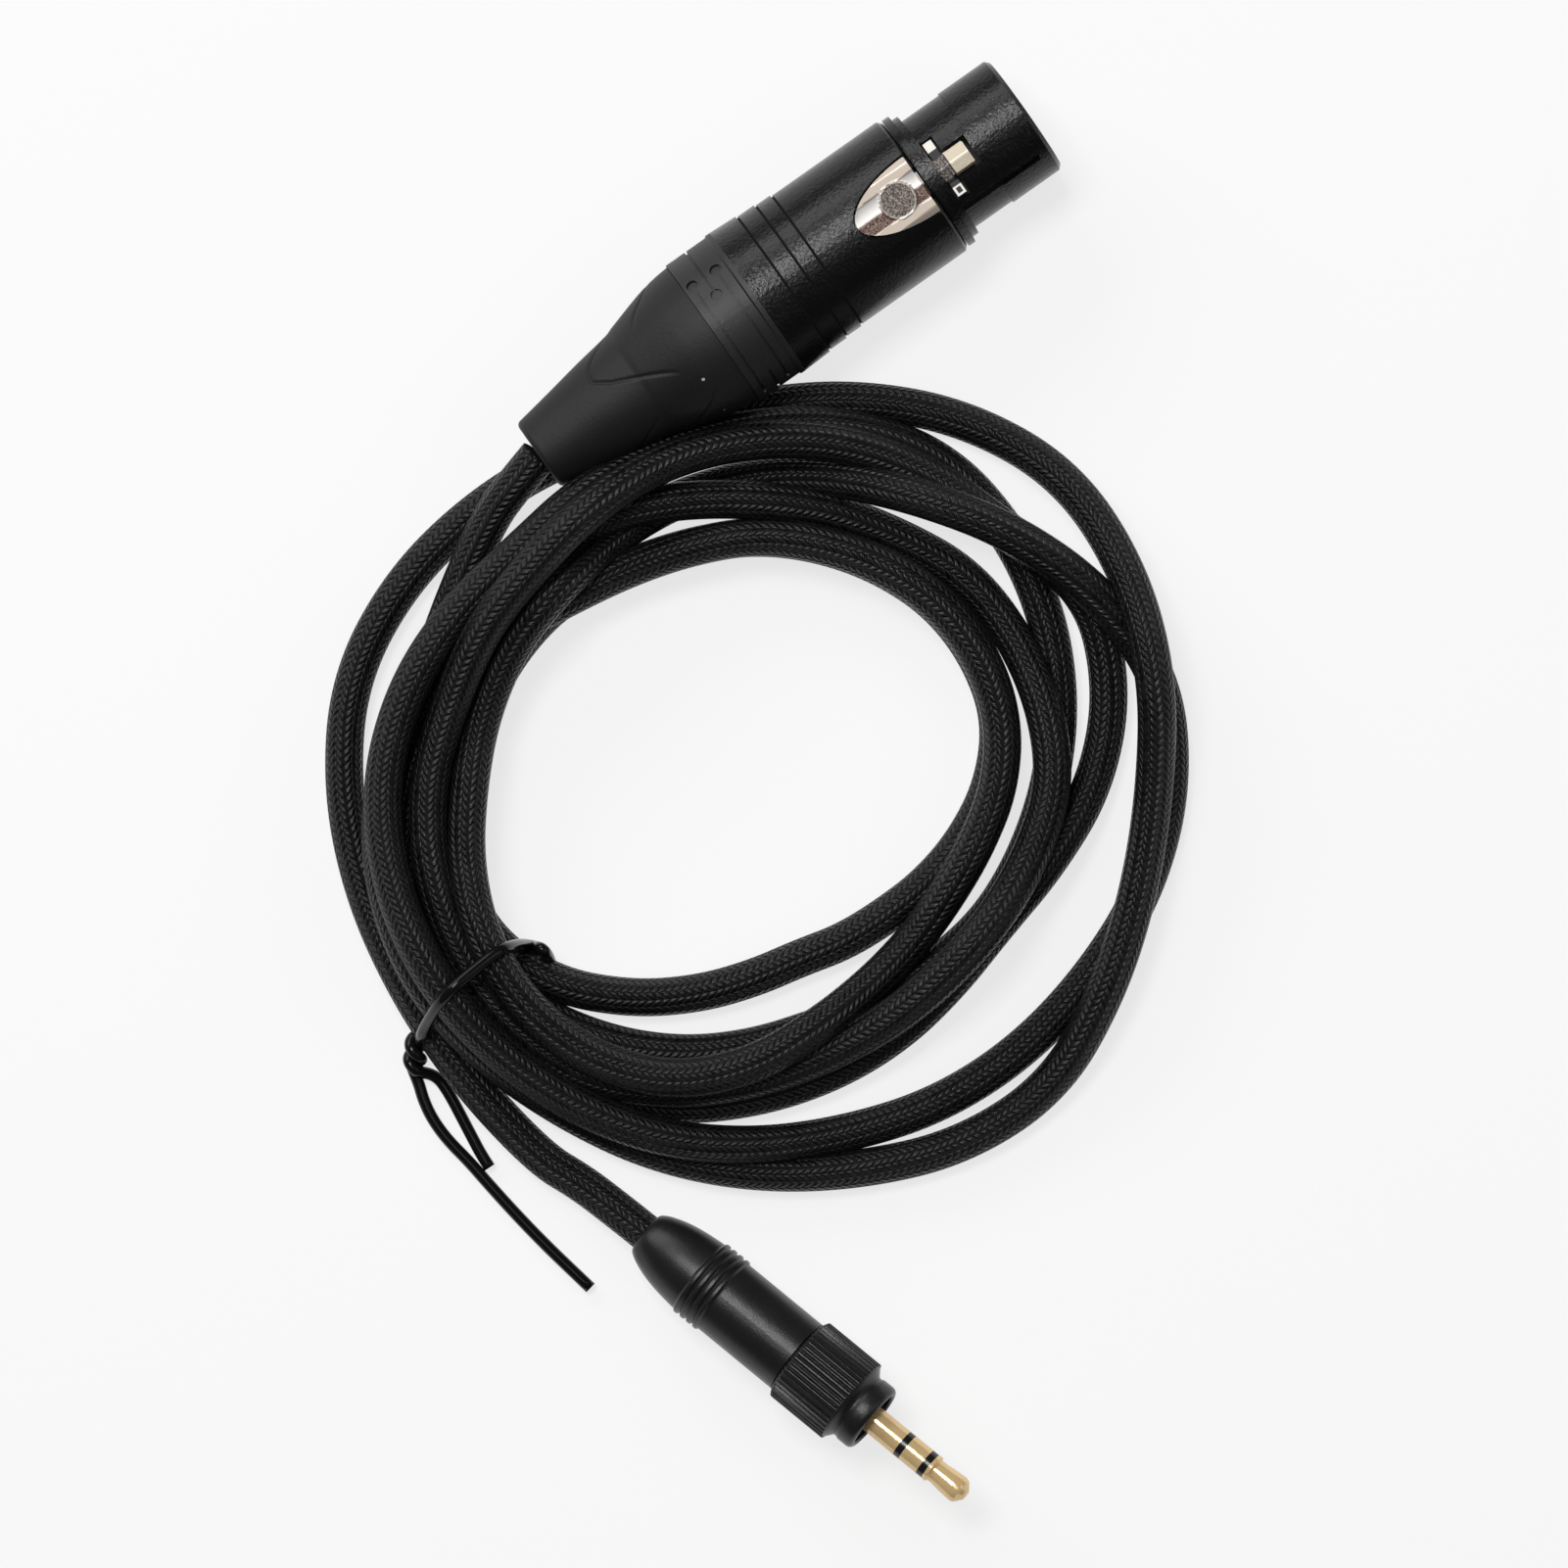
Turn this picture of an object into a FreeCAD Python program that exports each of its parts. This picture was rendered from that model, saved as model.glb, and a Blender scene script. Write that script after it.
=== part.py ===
import FreeCAD, Part
import math
import os

# A coiled microphone cord with a three-pole cord socket at one end, a small
# three-pole jack plug with a locking nut at the other, and a wire tie round it.
# Millimetres. +X runs along the socket towards its mating face, +Z is up, and
# the origin is under the middle of the socket, on the surface that it lies on.

Vector = FreeCAD.Vector

# The cord and the tie
cord_diameter = 4.6
tie_wire_diameter = 1.5
soft_gap = 0.3
overshoot = 1.0

# Lengths along the socket, from the boot's mouth to the mating end
boot_length = 25.8
bushing_length = 6.6
body_length = 24.7
shoulder_length = 2.0
barrel_length = 12.9

# Radii of the socket's outside, and the small steps between them
body_radius = 9.5
barrel_radius = 8.0
rim_step = 0.65
bushing_step = 0.2
boot_step = 0.25
shoulder_step = 0.25
neck_step = 0.9
barrel_relief = 0.2
boot_mouth_radius = 4.65
boot_waist_radius = 7.25

# The boot and the bushing under it
boot_waist_length = 15.2
boot_bulge_length = 20.3
boot_bulge_drop = 0.9
boot_lip_length = 2.2
boot_lip_drop = 0.2
boot_core_length = 12.8
boot_core_back_radius = 4.9
boot_wall = 1.4
sleeve_gap = 0.1
mouth_rounding = 0.6
bushing_neck_radius = 3.4
bushing_lip_length = 0.8
spigot_length = 5.8
spigot_step = 0.2
spigot_wall = 0.9
groove_width = 0.3
groove_depth = 0.35
keyhole_radius = 0.75
bushing_groove_stations = [1.1, 2.9, 4.5]
long_groove_start = -36.0
short_groove_start = -19.0
groove_sweep = 110.0

# The housing that holds the contacts
body_wall = 1.2
barrel_wall = 1.0
thread_gap = 0.1
shoulder_groove = 0.2
shoulder_ring_length = 1.1
body_step_stations = [3.7, 6.3, 8.6]
body_step_groove = 0.15
front_rounding = 0.5
keyway_width = 0.9
keyway_depth = 0.6
keyway_angle = 43.0
keyway_length = 11.1

# The push latch
plate_length = 9.4
plate_half_width = 3.95
plate_thickness = 1.7
plate_front_inset = 0.5
plate_web_inset = 1.2
plate_gap = 0.3
dimple_inset = 3.5
dimple_radius = 2.1
dimple_depth = 0.45
lever_half_width = 1.6
lever_thickness = 1.0
lever_drop = 1.6
web_half_width = 1.3
web_overlap = 0.4
pivot_pin_radius = 0.6
pivot_running_gap = 0.05
pivot_eye_radius = 1.15
pivot_setback = 10.5
pivot_drop = 2.0
hook_length = 3.2
hook_half_width = 1.4
hook_proud = 0.3
hook_station = 4.4
hook_ramp_angle = 40.0
hook_ramp_length = 0.9
arm_length = 1.2
arm_overlap = 0.3
arm_half_width = 3.8
window_gap = 0.6
slot_gap = 0.3

# The insert, its contacts and the spring under the latch
insert_recess = 1.0
insert_gap = 0.1
insert_flange_length = 6.4
contact_circle_radius = 4.05
contact_angles = [30.0, 150.0, 270.0]
contact_bore_radius = 1.25
contact_bore_depth = 12.0
contact_radius = 1.65
contact_flange_radius = 1.95
contact_flange_length = 0.9
contact_recess = 0.6
contact_gap = 0.05
cup_radius = 1.35
cup_bore_radius = 1.0
cup_length = 4.2
cup_depth = 3.2
cup_floor = 0.4
cup_lip_height = 0.3
ear_gap = 0.7
ear_wall = 1.65
ear_length = 6.0
ear_rise = 0.1
channel_drop = 1.8
cross_pocket_drop = 1.4
plate_pocket_drop = 1.8
spring_thickness = 0.25
spring_half_width = 1.2
spring_foot_length = 1.6
spring_back_inset = 0.5
spring_front_inset = 1.0
spring_touch_gap = 0.03
ground_strip_width = 3.0
ground_strip_thickness = 0.3
ground_strip_length = 11.0
ground_strip_gap = 0.02

# The collet that grips the cord, and the conductors
collet_gap = 0.2
collet_tail_radius = 4.2
collet_length = 21.0
collet_flange_length = 1.6
collet_cone_length = 7.0
collet_slot_width = 1.2
collet_grip_length = 11.0
collet_cavity_radius = 5.4
jacket_strip_back = 1.0
lead_radius = 0.6
lead_spread = 1.0
lead_seat = 1.0
lead_gap = 0.1
cord_gap = 0.02

# Lengths along the jack plug, from the tail to the tip
tail_length = 12.7
grip_length = 11.2
nut_length = 9.0
collar_length = 3.2
plug_length = 14.7

# The jack plug's outside and inside
tail_mouth_radius = 2.75
tail_radius = 4.95
tail_bullet_length = 8.2
ridge_height = 0.28
ridge_pitch = 1.0
ridge_count = 4
ridge_inset = 0.3
ridge_flank = 0.3
grip_radius = 4.95
nut_radius = 5.7
nut_chamfer = 0.6
nut_chamfer_length = 0.35
nut_front_chamfer = 0.85
nut_neck_radius = 4.4
collar_radius = 4.52
collar_groove_start = 0.5
collar_groove_end = 0.9
collar_shoulder = 1.2
collar_chamfer = 0.45
collar_chamfer_length = 0.6
nut_thread_radius = 3.6
nut_rib_count = 48
nut_rib_depth = 0.22
nut_rib_width = 0.32
stem_radius = 4.15
stem_bore_radius = 3.3
stem_wall = 0.6
nut_running_gap = 0.06
nut_end_gap = 0.2
clip_thickness = 0.6
clip_seat_depth = 0.35
clip_proud = 0.4
clip_inset = 2.4
clip_mouth = 3.0
clip_gap = 0.1
tail_wall = 1.1
tail_spigot_wall = 0.5
tail_end_gap = 0.2
tail_cord_gap = 0.05
tail_spigot_length = 4.0
plug_radius = 1.75
plug_gap = 0.05
plug_boss_radius = 2.3
plug_boss_proud = 0.5
plug_set_back = 0.8
insulator_width = 1.0
ring_contact_width = 2.5
tip_length = 6.1
tip_band_length = 0.9
tip_neck_radius = 1.15
tip_neck_start = 1.7
tip_neck_end = 2.4
tip_cone_start = 3.9
tip_cone_radius = 1.6
tip_cone_bend = 4.5
tip_bend_radius = 1.5
tip_blunting = 0.25
tip_end_radius = 0.55
tip_rod_radius = 0.4
layer_wall = 0.3
layer_gap = 0.02
plug_flange_length = 2.6
tag_length = 3.4
tag_half_width = 0.8
tag_thickness = 0.4
tag_inset = 0.9
layer_step = 0.6
ferrule_wall = 0.7
ferrule_length = 6.0
ferrule_overlap = 1.0
cord_stop_inset = 1.0
jack_lead_starts = [(0.0, -1.2), (0.0, 0.8), (1.3, 0.0)]
ring_lead_reach = 1.4

# Where the jack plug lies, which way its tip points and how far it tips up
jack_place = Vector(-79.7, -84.6, 3.9)
jack_heading = -74.25
jack_tilt = 9.0

# The coil: its middle, its height, and how far its outer and inner edges are
# from the middle at every eighth of a turn, first on the side of the jack plug
coil_middle = Vector(-37.7, -47.7, 0)
coil_height = 10.0
coil_first_angle = -35.1
coil_outer = [52.3, 54.6, 48.4, 50.7, 51.7, 51.0, 48.9, 52.1]
coil_inner = [27.2, 28.8, 27.5, 30.3, 32.4, 31.2, 21.1, 19.9]
coil_top_rounding = 3.2
coil_foot_rounding = 1.6

# The cord from the boot's mouth into the coil, and from the coil to the plug
lead_in_route = [
    (-41.2, 0.0, 10.15),
    (-46.6, -1.5, 9.3),
    (-51.6, -4.7, 7.5),
    (-55.6, -9.2, 5.6),
]
tail_route = [
    (-87.0, -53.4, 3.6),
    (-86.5, -59.4, 3.0),
    (-85.2, -65.5, 2.6),
    (-83.4, -71.9, 2.5),
    (-81.4, -78.5, 2.9),
]

# The tie: once round the coil, then its two ends from the twist
tie_loop = [
    (-90.6, -50.6, 4.2),
    (-88.2, -48.6, 9.2),
    (-84.0, -46.9, 11.2),
    (-78.8, -46.1, 11.3),
    (-73.6, -46.9, 11.1),
    (-69.6, -49.2, 8.2),
    (-69.2, -50.6, 3.4),
    (-72.4, -50.2, 0.85),
    (-79.0, -49.8, 0.8),
    (-85.8, -50.2, 0.85),
]
tie_twist_from = (-89.8, -50.3, 4.3)
tie_twist_to = (-91.2, -52.9, 2.4)
tie_twist_radius = 1.35
tie_end_one = [
    (-90.8, -52.4, 3.4),
    (-90.0, -55.0, 4.2),
    (-89.8, -58.2, 4.1),
    (-89.9, -62.0, 2.8),
    (-90.7, -67.2, 1.2),
]
tie_end_two = [
    (-90.9, -52.4, 2.3),
    (-92.5, -57.5, 1.5),
    (-92.2, -64.2, 1.0),
    (-91.2, -72.6, 0.9),
    (-89.9, -80.0, 1.0),
    (-88.9, -86.2, 1.4),
]

# Stations of the socket along X
connector_length = boot_length + bushing_length + body_length + shoulder_length + barrel_length
boot_back = -connector_length / 2
bushing_back = boot_back + boot_length
body_back = bushing_back + bushing_length
shoulder_back = body_back + body_length
barrel_back = shoulder_back + shoulder_length
barrel_front = barrel_back + barrel_length

# Radii and heights that follow from the driving sizes
cord_radius = cord_diameter / 2
tie_radius = tie_wire_diameter / 2
rim_radius = body_radius + rim_step
bushing_radius = rim_radius - bushing_step
boot_front_radius = bushing_radius - boot_step
boot_bulge_radius = boot_front_radius - boot_bulge_drop
boot_core_front_radius = boot_front_radius - boot_wall
shoulder_radius = body_radius - shoulder_step
neck_radius = body_radius - neck_step
cavity_radius = body_radius - body_wall
spigot_radius = cavity_radius + spigot_step
bushing_bore_radius = spigot_radius - spigot_wall
collet_radius = bushing_bore_radius - collet_gap
collet_flange_radius = cavity_radius - collet_gap
barrel_bore_radius = barrel_radius - barrel_wall
axis_height = rim_radius
lever_height = barrel_bore_radius - lever_drop
pivot_height = cavity_radius - pivot_drop
hook_height = barrel_radius + hook_proud
ear_inner = lever_half_width + ear_gap
ear_outer = ear_inner + ear_wall
ear_top = pivot_height + pivot_pin_radius + ear_rise
ear_floor = contact_circle_radius * math.sin(math.radians(contact_angles[0]))
ear_floor += contact_flange_radius + contact_gap
channel_floor = lever_height - channel_drop
cross_pocket_floor = lever_height - cross_pocket_drop
plate_pocket_floor = body_radius - plate_thickness - plate_pocket_drop

# Stations that follow from them
insert_step = shoulder_back + shoulder_groove
insert_back = insert_step - insert_flange_length
insert_front = barrel_front - insert_recess
contact_front = insert_front - contact_recess
plate_front = shoulder_back - plate_front_inset
plate_back = plate_front - plate_length
pivot_x = shoulder_back - pivot_setback
hook_front = barrel_back + hook_station
hook_back = hook_front - hook_length
arm_front = hook_back + arm_overlap
arm_back = arm_front - arm_length
window_front = hook_front + window_gap
front_wall_back = window_front + window_gap
spigot_front = body_back + spigot_length
collet_front = spigot_front + collet_flange_length
collet_back = collet_front - collet_length
jacket_end = spigot_front - jacket_strip_back

# Stations of the jack plug from its tail
grip_back = tail_length
nut_back = grip_back + grip_length
collar_back = nut_back + nut_length
collar_front = collar_back + collar_length
stem_front = collar_back - nut_end_gap
plug_tip = collar_front - plug_set_back + plug_length
tip_back = plug_tip - tip_length
front_insulator_back = tip_back - insulator_width
ring_back = front_insulator_back - ring_contact_width
rear_insulator_back = ring_back - insulator_width
flange_back = stem_front - stem_wall - plug_flange_length
ring_tag_back = flange_back - tag_length
tip_tag_back = ring_tag_back - tag_length
ferrule_back = tail_length - ferrule_overlap
ferrule_front = ferrule_back + ferrule_length
cord_stop = ferrule_front - cord_stop_inset


def turned(outline, height=0.0):
    """Turn an outline of (x, radius) points about a line along X at a height."""
    corners = [Vector(x, 0, radius) for x, radius in outline]
    face = Part.Face(Part.makePolygon(corners + corners[:1]))
    shape = face.revolve(Vector(0, 0, 0), Vector(1, 0, 0), 360)
    shape.translate(Vector(0, 0, height))
    return shape


def rod(back, front, radius, y=0.0, z=0.0):
    """Make a round bar along X, with its axis at y, z."""
    return Part.makeCylinder(radius, front - back, Vector(back, y, z), Vector(1, 0, 0))


def ring(back, front, inner, outer):
    """Make a plain tube along X about the local axis."""
    return rod(back, front, outer).cut(rod(back, front, inner))


def block(x, y, z):
    """Make a box from three (low, high) pairs."""
    corner = Vector(x[0], y[0], z[0])
    return Part.makeBox(x[1] - x[0], y[1] - y[0], z[1] - z[0], corner)


def on_axis(shape):
    """Lift a shape made about the X axis to the socket's own axis."""
    shape = shape.copy()
    shape.translate(Vector(0, 0, axis_height))
    return shape


def on_jack(shape):
    """Put a shape made along X from the tail where the jack plug lies."""
    shape = shape.copy()
    shape.rotate(Vector(0, 0, 0), Vector(0, 1, 0), -jack_tilt)
    shape.rotate(Vector(0, 0, 0), Vector(0, 0, 1), jack_heading)
    shape.translate(jack_place)
    return shape


def bend(before, corner, after):
    """Give where the arc that rounds a corner starts and ends, its centre and turn."""
    back = before - corner
    ahead = after - corner
    turn = math.pi - back.getAngle(ahead)
    setback = 0.45 * min(back.Length, ahead.Length)
    back.normalize()
    ahead.normalize()
    towards = (back + ahead).normalize()
    centre = corner + towards * (setback / math.sin(turn / 2))
    return corner + back * setback, corner + ahead * setback, centre, turn


def bent_piece(start, end, centre, turn, radius):
    """Sweep a round bar along one arc."""
    axis = (start - centre).cross(end - centre).normalize()
    section = Part.Face(Part.Wire(Part.Circle(start, axis.cross(start - centre), radius).toShape()))
    return section.revolve(centre, axis, math.degrees(turn))


def tube(points, radius, name, closed=False):
    """Sweep a round bar along straight runs joined by tangent arcs."""
    points = [Vector(*point) for point in points]
    count = len(points)
    corners = range(count) if closed else range(1, count - 1)
    bends = [bend(points[i - 1], points[i], points[(i + 1) % count]) for i in corners]
    pieces = []
    radii = []
    length = 0.0
    here = bends[-1][1] if closed else points[0]
    for start, end, centre, turn in bends:
        run = start - here
        pieces.append(Part.makeCylinder(radius, run.Length, here, run))
        pieces.append(bent_piece(start, end, centre, turn, radius))
        radii.append((start - centre).Length)
        length += run.Length + turn * radii[-1]
        here = end
    if not closed:
        run = points[-1] - here
        pieces.append(Part.makeCylinder(radius, run.Length, here, run))
        length += run.Length
    shape = pieces[0].fuse(pieces[1:])
    print(f"{name}: length {length:.1f} mm, arc radii {', '.join(f'{r:.1f}' for r in radii)} mm")
    if abs(shape.Volume / (math.pi * radius ** 2 * length) - 1) > 0.01:
        raise ValueError(f"{name} has the wrong volume")
    return shape


def boot_outline(grow=0.0):
    """Give the boot's outside from its mouth to its front, as far as the axis."""
    return [
        (boot_back - grow, 0),
        (boot_back - grow, boot_mouth_radius - mouth_rounding + grow),
        (boot_back - grow + mouth_rounding, boot_mouth_radius + grow),
        (boot_back + boot_waist_length, boot_waist_radius + grow),
        (boot_back + boot_bulge_length, boot_bulge_radius + grow),
        (bushing_back - boot_lip_length, boot_front_radius - boot_lip_drop + grow),
        (bushing_back, boot_front_radius + grow),
        (bushing_back, 0),
    ]


def core_outline(gap=0.0):
    """Give the bushing's tapered core, which the boot is moulded over."""
    return [
        (bushing_back - boot_core_length - gap, 0),
        (bushing_back - boot_core_length - gap, boot_core_back_radius + gap),
        (bushing_back, boot_core_front_radius + gap),
        (bushing_back, 0),
    ]


def make_boot():
    boot = turned(boot_outline())
    boot = boot.cut(turned(core_outline(sleeve_gap)))
    boot = boot.cut(rod(boot_back, bushing_back, cord_radius + sleeve_gap))
    return on_axis(boot)


def arc_groove(station, first, sweep):
    """Cut tool for a shallow groove part of the way round, ending in a keyhole.

    Angles are in degrees from the top, towards -Y.
    """
    x = bushing_back + station
    low = bushing_radius - groove_depth
    corners = [
        Vector(x - groove_width / 2, 0, low),
        Vector(x + groove_width / 2, 0, low),
        Vector(x + groove_width / 2, 0, rim_radius + overshoot),
        Vector(x - groove_width / 2, 0, rim_radius + overshoot),
    ]
    face = Part.Face(Part.makePolygon(corners + corners[:1]))
    face.rotate(Vector(0, 0, 0), Vector(1, 0, 0), first)
    groove = face.revolve(Vector(0, 0, 0), Vector(1, 0, 0), sweep)
    keyhole = Part.makeCylinder(keyhole_radius, 2 * overshoot, Vector(x, 0, low), Vector(0, 0, 1))
    keyhole.rotate(Vector(0, 0, 0), Vector(1, 0, 0), first)
    return groove.fuse(keyhole)


def make_bushing():
    outside = [
        (bushing_back - boot_core_length, 0),
        (bushing_back - boot_core_length, boot_core_back_radius),
        (bushing_back, boot_core_front_radius),
        (bushing_back, bushing_radius),
        (body_back - bushing_lip_length, bushing_radius),
        (body_back - bushing_lip_length + bushing_step, rim_radius),
        (body_back, rim_radius),
        (body_back, spigot_radius),
        (spigot_front, spigot_radius),
        (spigot_front, 0),
    ]
    cone_front = collet_back + collet_cone_length
    inside = [
        (boot_back, 0),
        (boot_back, bushing_neck_radius),
        (collet_back - collet_gap, bushing_neck_radius),
        (collet_back - collet_gap, collet_tail_radius + collet_gap),
        (cone_front - collet_gap, bushing_bore_radius),
        (spigot_front, bushing_bore_radius),
        (spigot_front, 0),
    ]
    bushing = turned(outside).cut(turned(inside))
    low, middle, high = bushing_groove_stations
    for turn in (0, 180):
        bushing = bushing.cut(arc_groove(low, turn + long_groove_start, groove_sweep))
        bushing = bushing.cut(arc_groove(high, turn + long_groove_start, groove_sweep))
        bushing = bushing.cut(arc_groove(middle, turn + short_groove_start, -groove_sweep))
    return on_axis(bushing)


def body_outline():
    """Give the housing's outside, with its three fine steps and the shoulder."""
    outline = [(body_back, 0), (body_back, rim_radius)]
    step = (rim_radius - body_radius) / (len(body_step_stations) + 1)
    for index, station in enumerate(body_step_stations, 1):
        x = body_back + station
        after = rim_radius - step * (index + 1)
        outline.append((x, rim_radius - step * index))
        outline.append((x, after - body_step_groove))
        outline.append((x + groove_width, after - body_step_groove))
        outline.append((x + groove_width, after))
    outline.append((shoulder_back - front_rounding, body_radius))
    outline.append((shoulder_back, body_radius - front_rounding))
    outline.append((shoulder_back, neck_radius))
    outline.append((shoulder_back + shoulder_groove, neck_radius))
    outline.append((shoulder_back + shoulder_groove, shoulder_radius))
    middle = shoulder_back + shoulder_ring_length
    outline.append((middle, shoulder_radius))
    outline.append((middle, neck_radius))
    outline.append((barrel_back, neck_radius))
    outline.append((barrel_back, barrel_radius - barrel_relief))
    outline.append((front_wall_back, barrel_radius - barrel_relief))
    outline.append((front_wall_back, barrel_radius))
    outline.append((barrel_front - front_rounding, barrel_radius))
    outline.append((barrel_front, barrel_radius - front_rounding))
    outline.append((barrel_front, 0))
    return outline


def half_oval(front, length, half_width, low, high):
    """Make an upright prism on half an ellipse, flat at its front end."""
    ellipse = Part.Ellipse(Vector(front, 0, low), length, half_width)
    curve = Part.ArcOfEllipse(ellipse, math.pi / 2, 3 * math.pi / 2).toShape()
    chord = Part.makeLine(Vector(front, -half_width, low), Vector(front, half_width, low))
    face = Part.Face(Part.Wire([curve, chord]))
    return face.extrude(Vector(0, 0, high - low))


def make_housing():
    housing = turned(body_outline())
    housing = housing.cut(rod(body_back, spigot_front + thread_gap, spigot_radius + thread_gap))
    housing = housing.cut(rod(spigot_front, insert_step, cavity_radius))
    housing = housing.cut(rod(insert_step, barrel_front, barrel_bore_radius))
    top = rim_radius + overshoot
    opening = half_oval(
        plate_front + plate_gap,
        plate_length + 2 * plate_gap,
        plate_half_width + plate_gap,
        plate_pocket_floor,
        top,
    )
    housing = housing.cut(opening)
    window_half = hook_half_width + window_gap
    window = block((arm_back - slot_gap, window_front), (-window_half, window_half), (lever_height, top))
    slot_half = arm_half_width + slot_gap
    slot = block(
        (arm_back - slot_gap, arm_front + slot_gap),
        (-slot_half, slot_half),
        (lever_height - slot_gap, top),
    )
    housing = housing.cut(window).cut(slot)
    keyway = block(
        (barrel_back, barrel_back + keyway_length),
        (-keyway_width / 2, keyway_width / 2),
        (barrel_radius - keyway_depth, top),
    )
    keyway.rotate(Vector(0, 0, 0), Vector(1, 0, 0), keyway_angle)
    return on_axis(housing.cut(keyway))


def make_latch():
    plate_top = body_radius
    plate_low = plate_top - plate_thickness
    plate = half_oval(plate_front, plate_length, plate_half_width, plate_low, plate_top + overshoot)
    plate = plate.common(rod(plate_back - overshoot, plate_front + overshoot, plate_top))
    middle = plate_front - dimple_inset
    ball_radius = (dimple_radius ** 2 + dimple_depth ** 2) / (2 * dimple_depth)
    ball = Part.makeSphere(ball_radius, Vector(middle, 0, plate_top - dimple_depth + ball_radius))
    plate = plate.cut(ball)
    lever = block(
        (pivot_x, hook_front),
        (-lever_half_width, lever_half_width),
        (lever_height, lever_height + lever_thickness),
    )
    web = block(
        (plate_back + plate_web_inset, plate_front - plate_web_inset),
        (-web_half_width, web_half_width),
        (lever_height, plate_low + web_overlap),
    )
    hook = block(
        (hook_back, hook_front),
        (-hook_half_width, hook_half_width),
        (lever_height, hook_height),
    )
    ramp = block((0, hook_length), (-hook_half_width, hook_half_width), (0, hook_length))
    ramp.rotate(Vector(0, 0, 0), Vector(0, 1, 0), -hook_ramp_angle)
    ramp.translate(Vector(hook_front - hook_ramp_length, 0, hook_height))
    hook = hook.cut(ramp)
    arms = block(
        (arm_back, arm_front),
        (-arm_half_width, arm_half_width),
        (lever_height, lever_height + lever_thickness),
    )
    eye_axis = Vector(0, 1, 0)
    eye_start = Vector(pivot_x, -lever_half_width, pivot_height)
    eye = Part.makeCylinder(pivot_eye_radius, 2 * lever_half_width, eye_start, eye_axis)
    bore = Part.makeCylinder(
        pivot_pin_radius + pivot_running_gap, 2 * lever_half_width, eye_start, eye_axis
    )
    latch = plate.fuse([lever, web, hook, arms, eye]).cut(bore)
    return on_axis(latch.removeSplitter())


def make_latch_pin():
    start = Vector(pivot_x, -ear_outer, pivot_height)
    return on_axis(Part.makeCylinder(pivot_pin_radius, 2 * ear_outer, start, Vector(0, 1, 0)))


def make_latch_spring():
    """A leaf that lies on the channel's floor and springs up under the lever."""
    back = insert_back + spring_back_inset
    foot = back + spring_foot_length
    front = plate_front - spring_front_inset
    touch = lever_height - spring_touch_gap
    low = channel_floor
    corners = [
        Vector(back, 0, low),
        Vector(foot, 0, low),
        Vector(front, 0, touch - spring_thickness),
        Vector(front, 0, touch),
        Vector(foot, 0, low + spring_thickness),
        Vector(back, 0, low + spring_thickness),
    ]
    face = Part.Face(Part.makePolygon(corners + corners[:1]))
    leaf = face.extrude(Vector(0, 2 * spring_half_width, 0))
    leaf.translate(Vector(0, -spring_half_width, 0))
    return on_axis(leaf)


def contact_places():
    """Give the sideways and upward place of each contact."""
    places = []
    for angle in contact_angles:
        turn = math.radians(angle)
        places.append((contact_circle_radius * math.cos(turn), contact_circle_radius * math.sin(turn)))
    return places


def make_insert():
    flange_radius = cavity_radius - insert_gap
    nose_radius = barrel_bore_radius - insert_gap
    insert = rod(insert_back, insert_step, flange_radius)
    insert = insert.fuse(rod(insert_step, insert_front, nose_radius))
    for side in (-1, 1):
        low, high = sorted((side * ear_inner, side * ear_outer))
        ear = block((insert_back - ear_length, insert_step), (low, high), (ear_floor, ear_top))
        insert = insert.fuse(ear)
    tall = rim_radius + overshoot
    channel_front = window_front + window_gap
    channel = block((insert_back - overshoot, channel_front), (-ear_inner, ear_inner), (channel_floor, tall))
    pocket_half = plate_half_width + 2 * plate_gap
    pocket_back = insert_back - ear_length / 2
    pocket = block((pocket_back, insert_step), (-pocket_half, pocket_half), (plate_pocket_floor, tall))
    slot_half = arm_half_width + slot_gap
    cross = block(
        (arm_back - slot_gap, arm_front + 2 * slot_gap),
        (-slot_half, slot_half),
        (cross_pocket_floor, tall),
    )
    insert = insert.cut(channel).cut(pocket).cut(cross)
    for y, z in contact_places():
        insert = insert.cut(rod(insert_back, insert_front, contact_radius + contact_gap, y, z))
    strip_half = ground_strip_width / 2 + insert_gap
    strip = block(
        (insert_step, insert_step + ground_strip_length + insert_gap),
        (-strip_half, strip_half),
        (-nose_radius - overshoot, -nose_radius + ground_strip_thickness + insert_gap),
    )
    insert = insert.cut(strip)
    pin = Part.makeCylinder(
        pivot_pin_radius, 2 * ear_outer, Vector(pivot_x, -ear_outer, pivot_height), Vector(0, 1, 0)
    )
    return on_axis(insert.cut(pin).removeSplitter())


def make_contact(y, z):
    outside = [
        (insert_back - contact_flange_length - cup_length, 0),
        (insert_back - contact_flange_length - cup_length, cup_radius),
        (insert_back - contact_flange_length, cup_radius),
        (insert_back - contact_flange_length, contact_flange_radius),
        (insert_back, contact_flange_radius),
        (insert_back, contact_radius),
        (contact_front, contact_radius),
        (contact_front, 0),
    ]
    contact = turned(outside)
    contact = contact.cut(rod(contact_front - contact_bore_depth, contact_front, contact_bore_radius))
    cup_back = insert_back - contact_flange_length - cup_length
    contact = contact.cut(rod(cup_back, cup_back + cup_depth, cup_bore_radius))
    half_cup = block(
        (cup_back, cup_back + cup_depth - cup_floor),
        (-cup_radius, cup_radius),
        (cup_lip_height, cup_radius),
    )
    contact = contact.cut(half_cup)
    contact.translate(Vector(0, y, z))
    return on_axis(contact)


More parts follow.
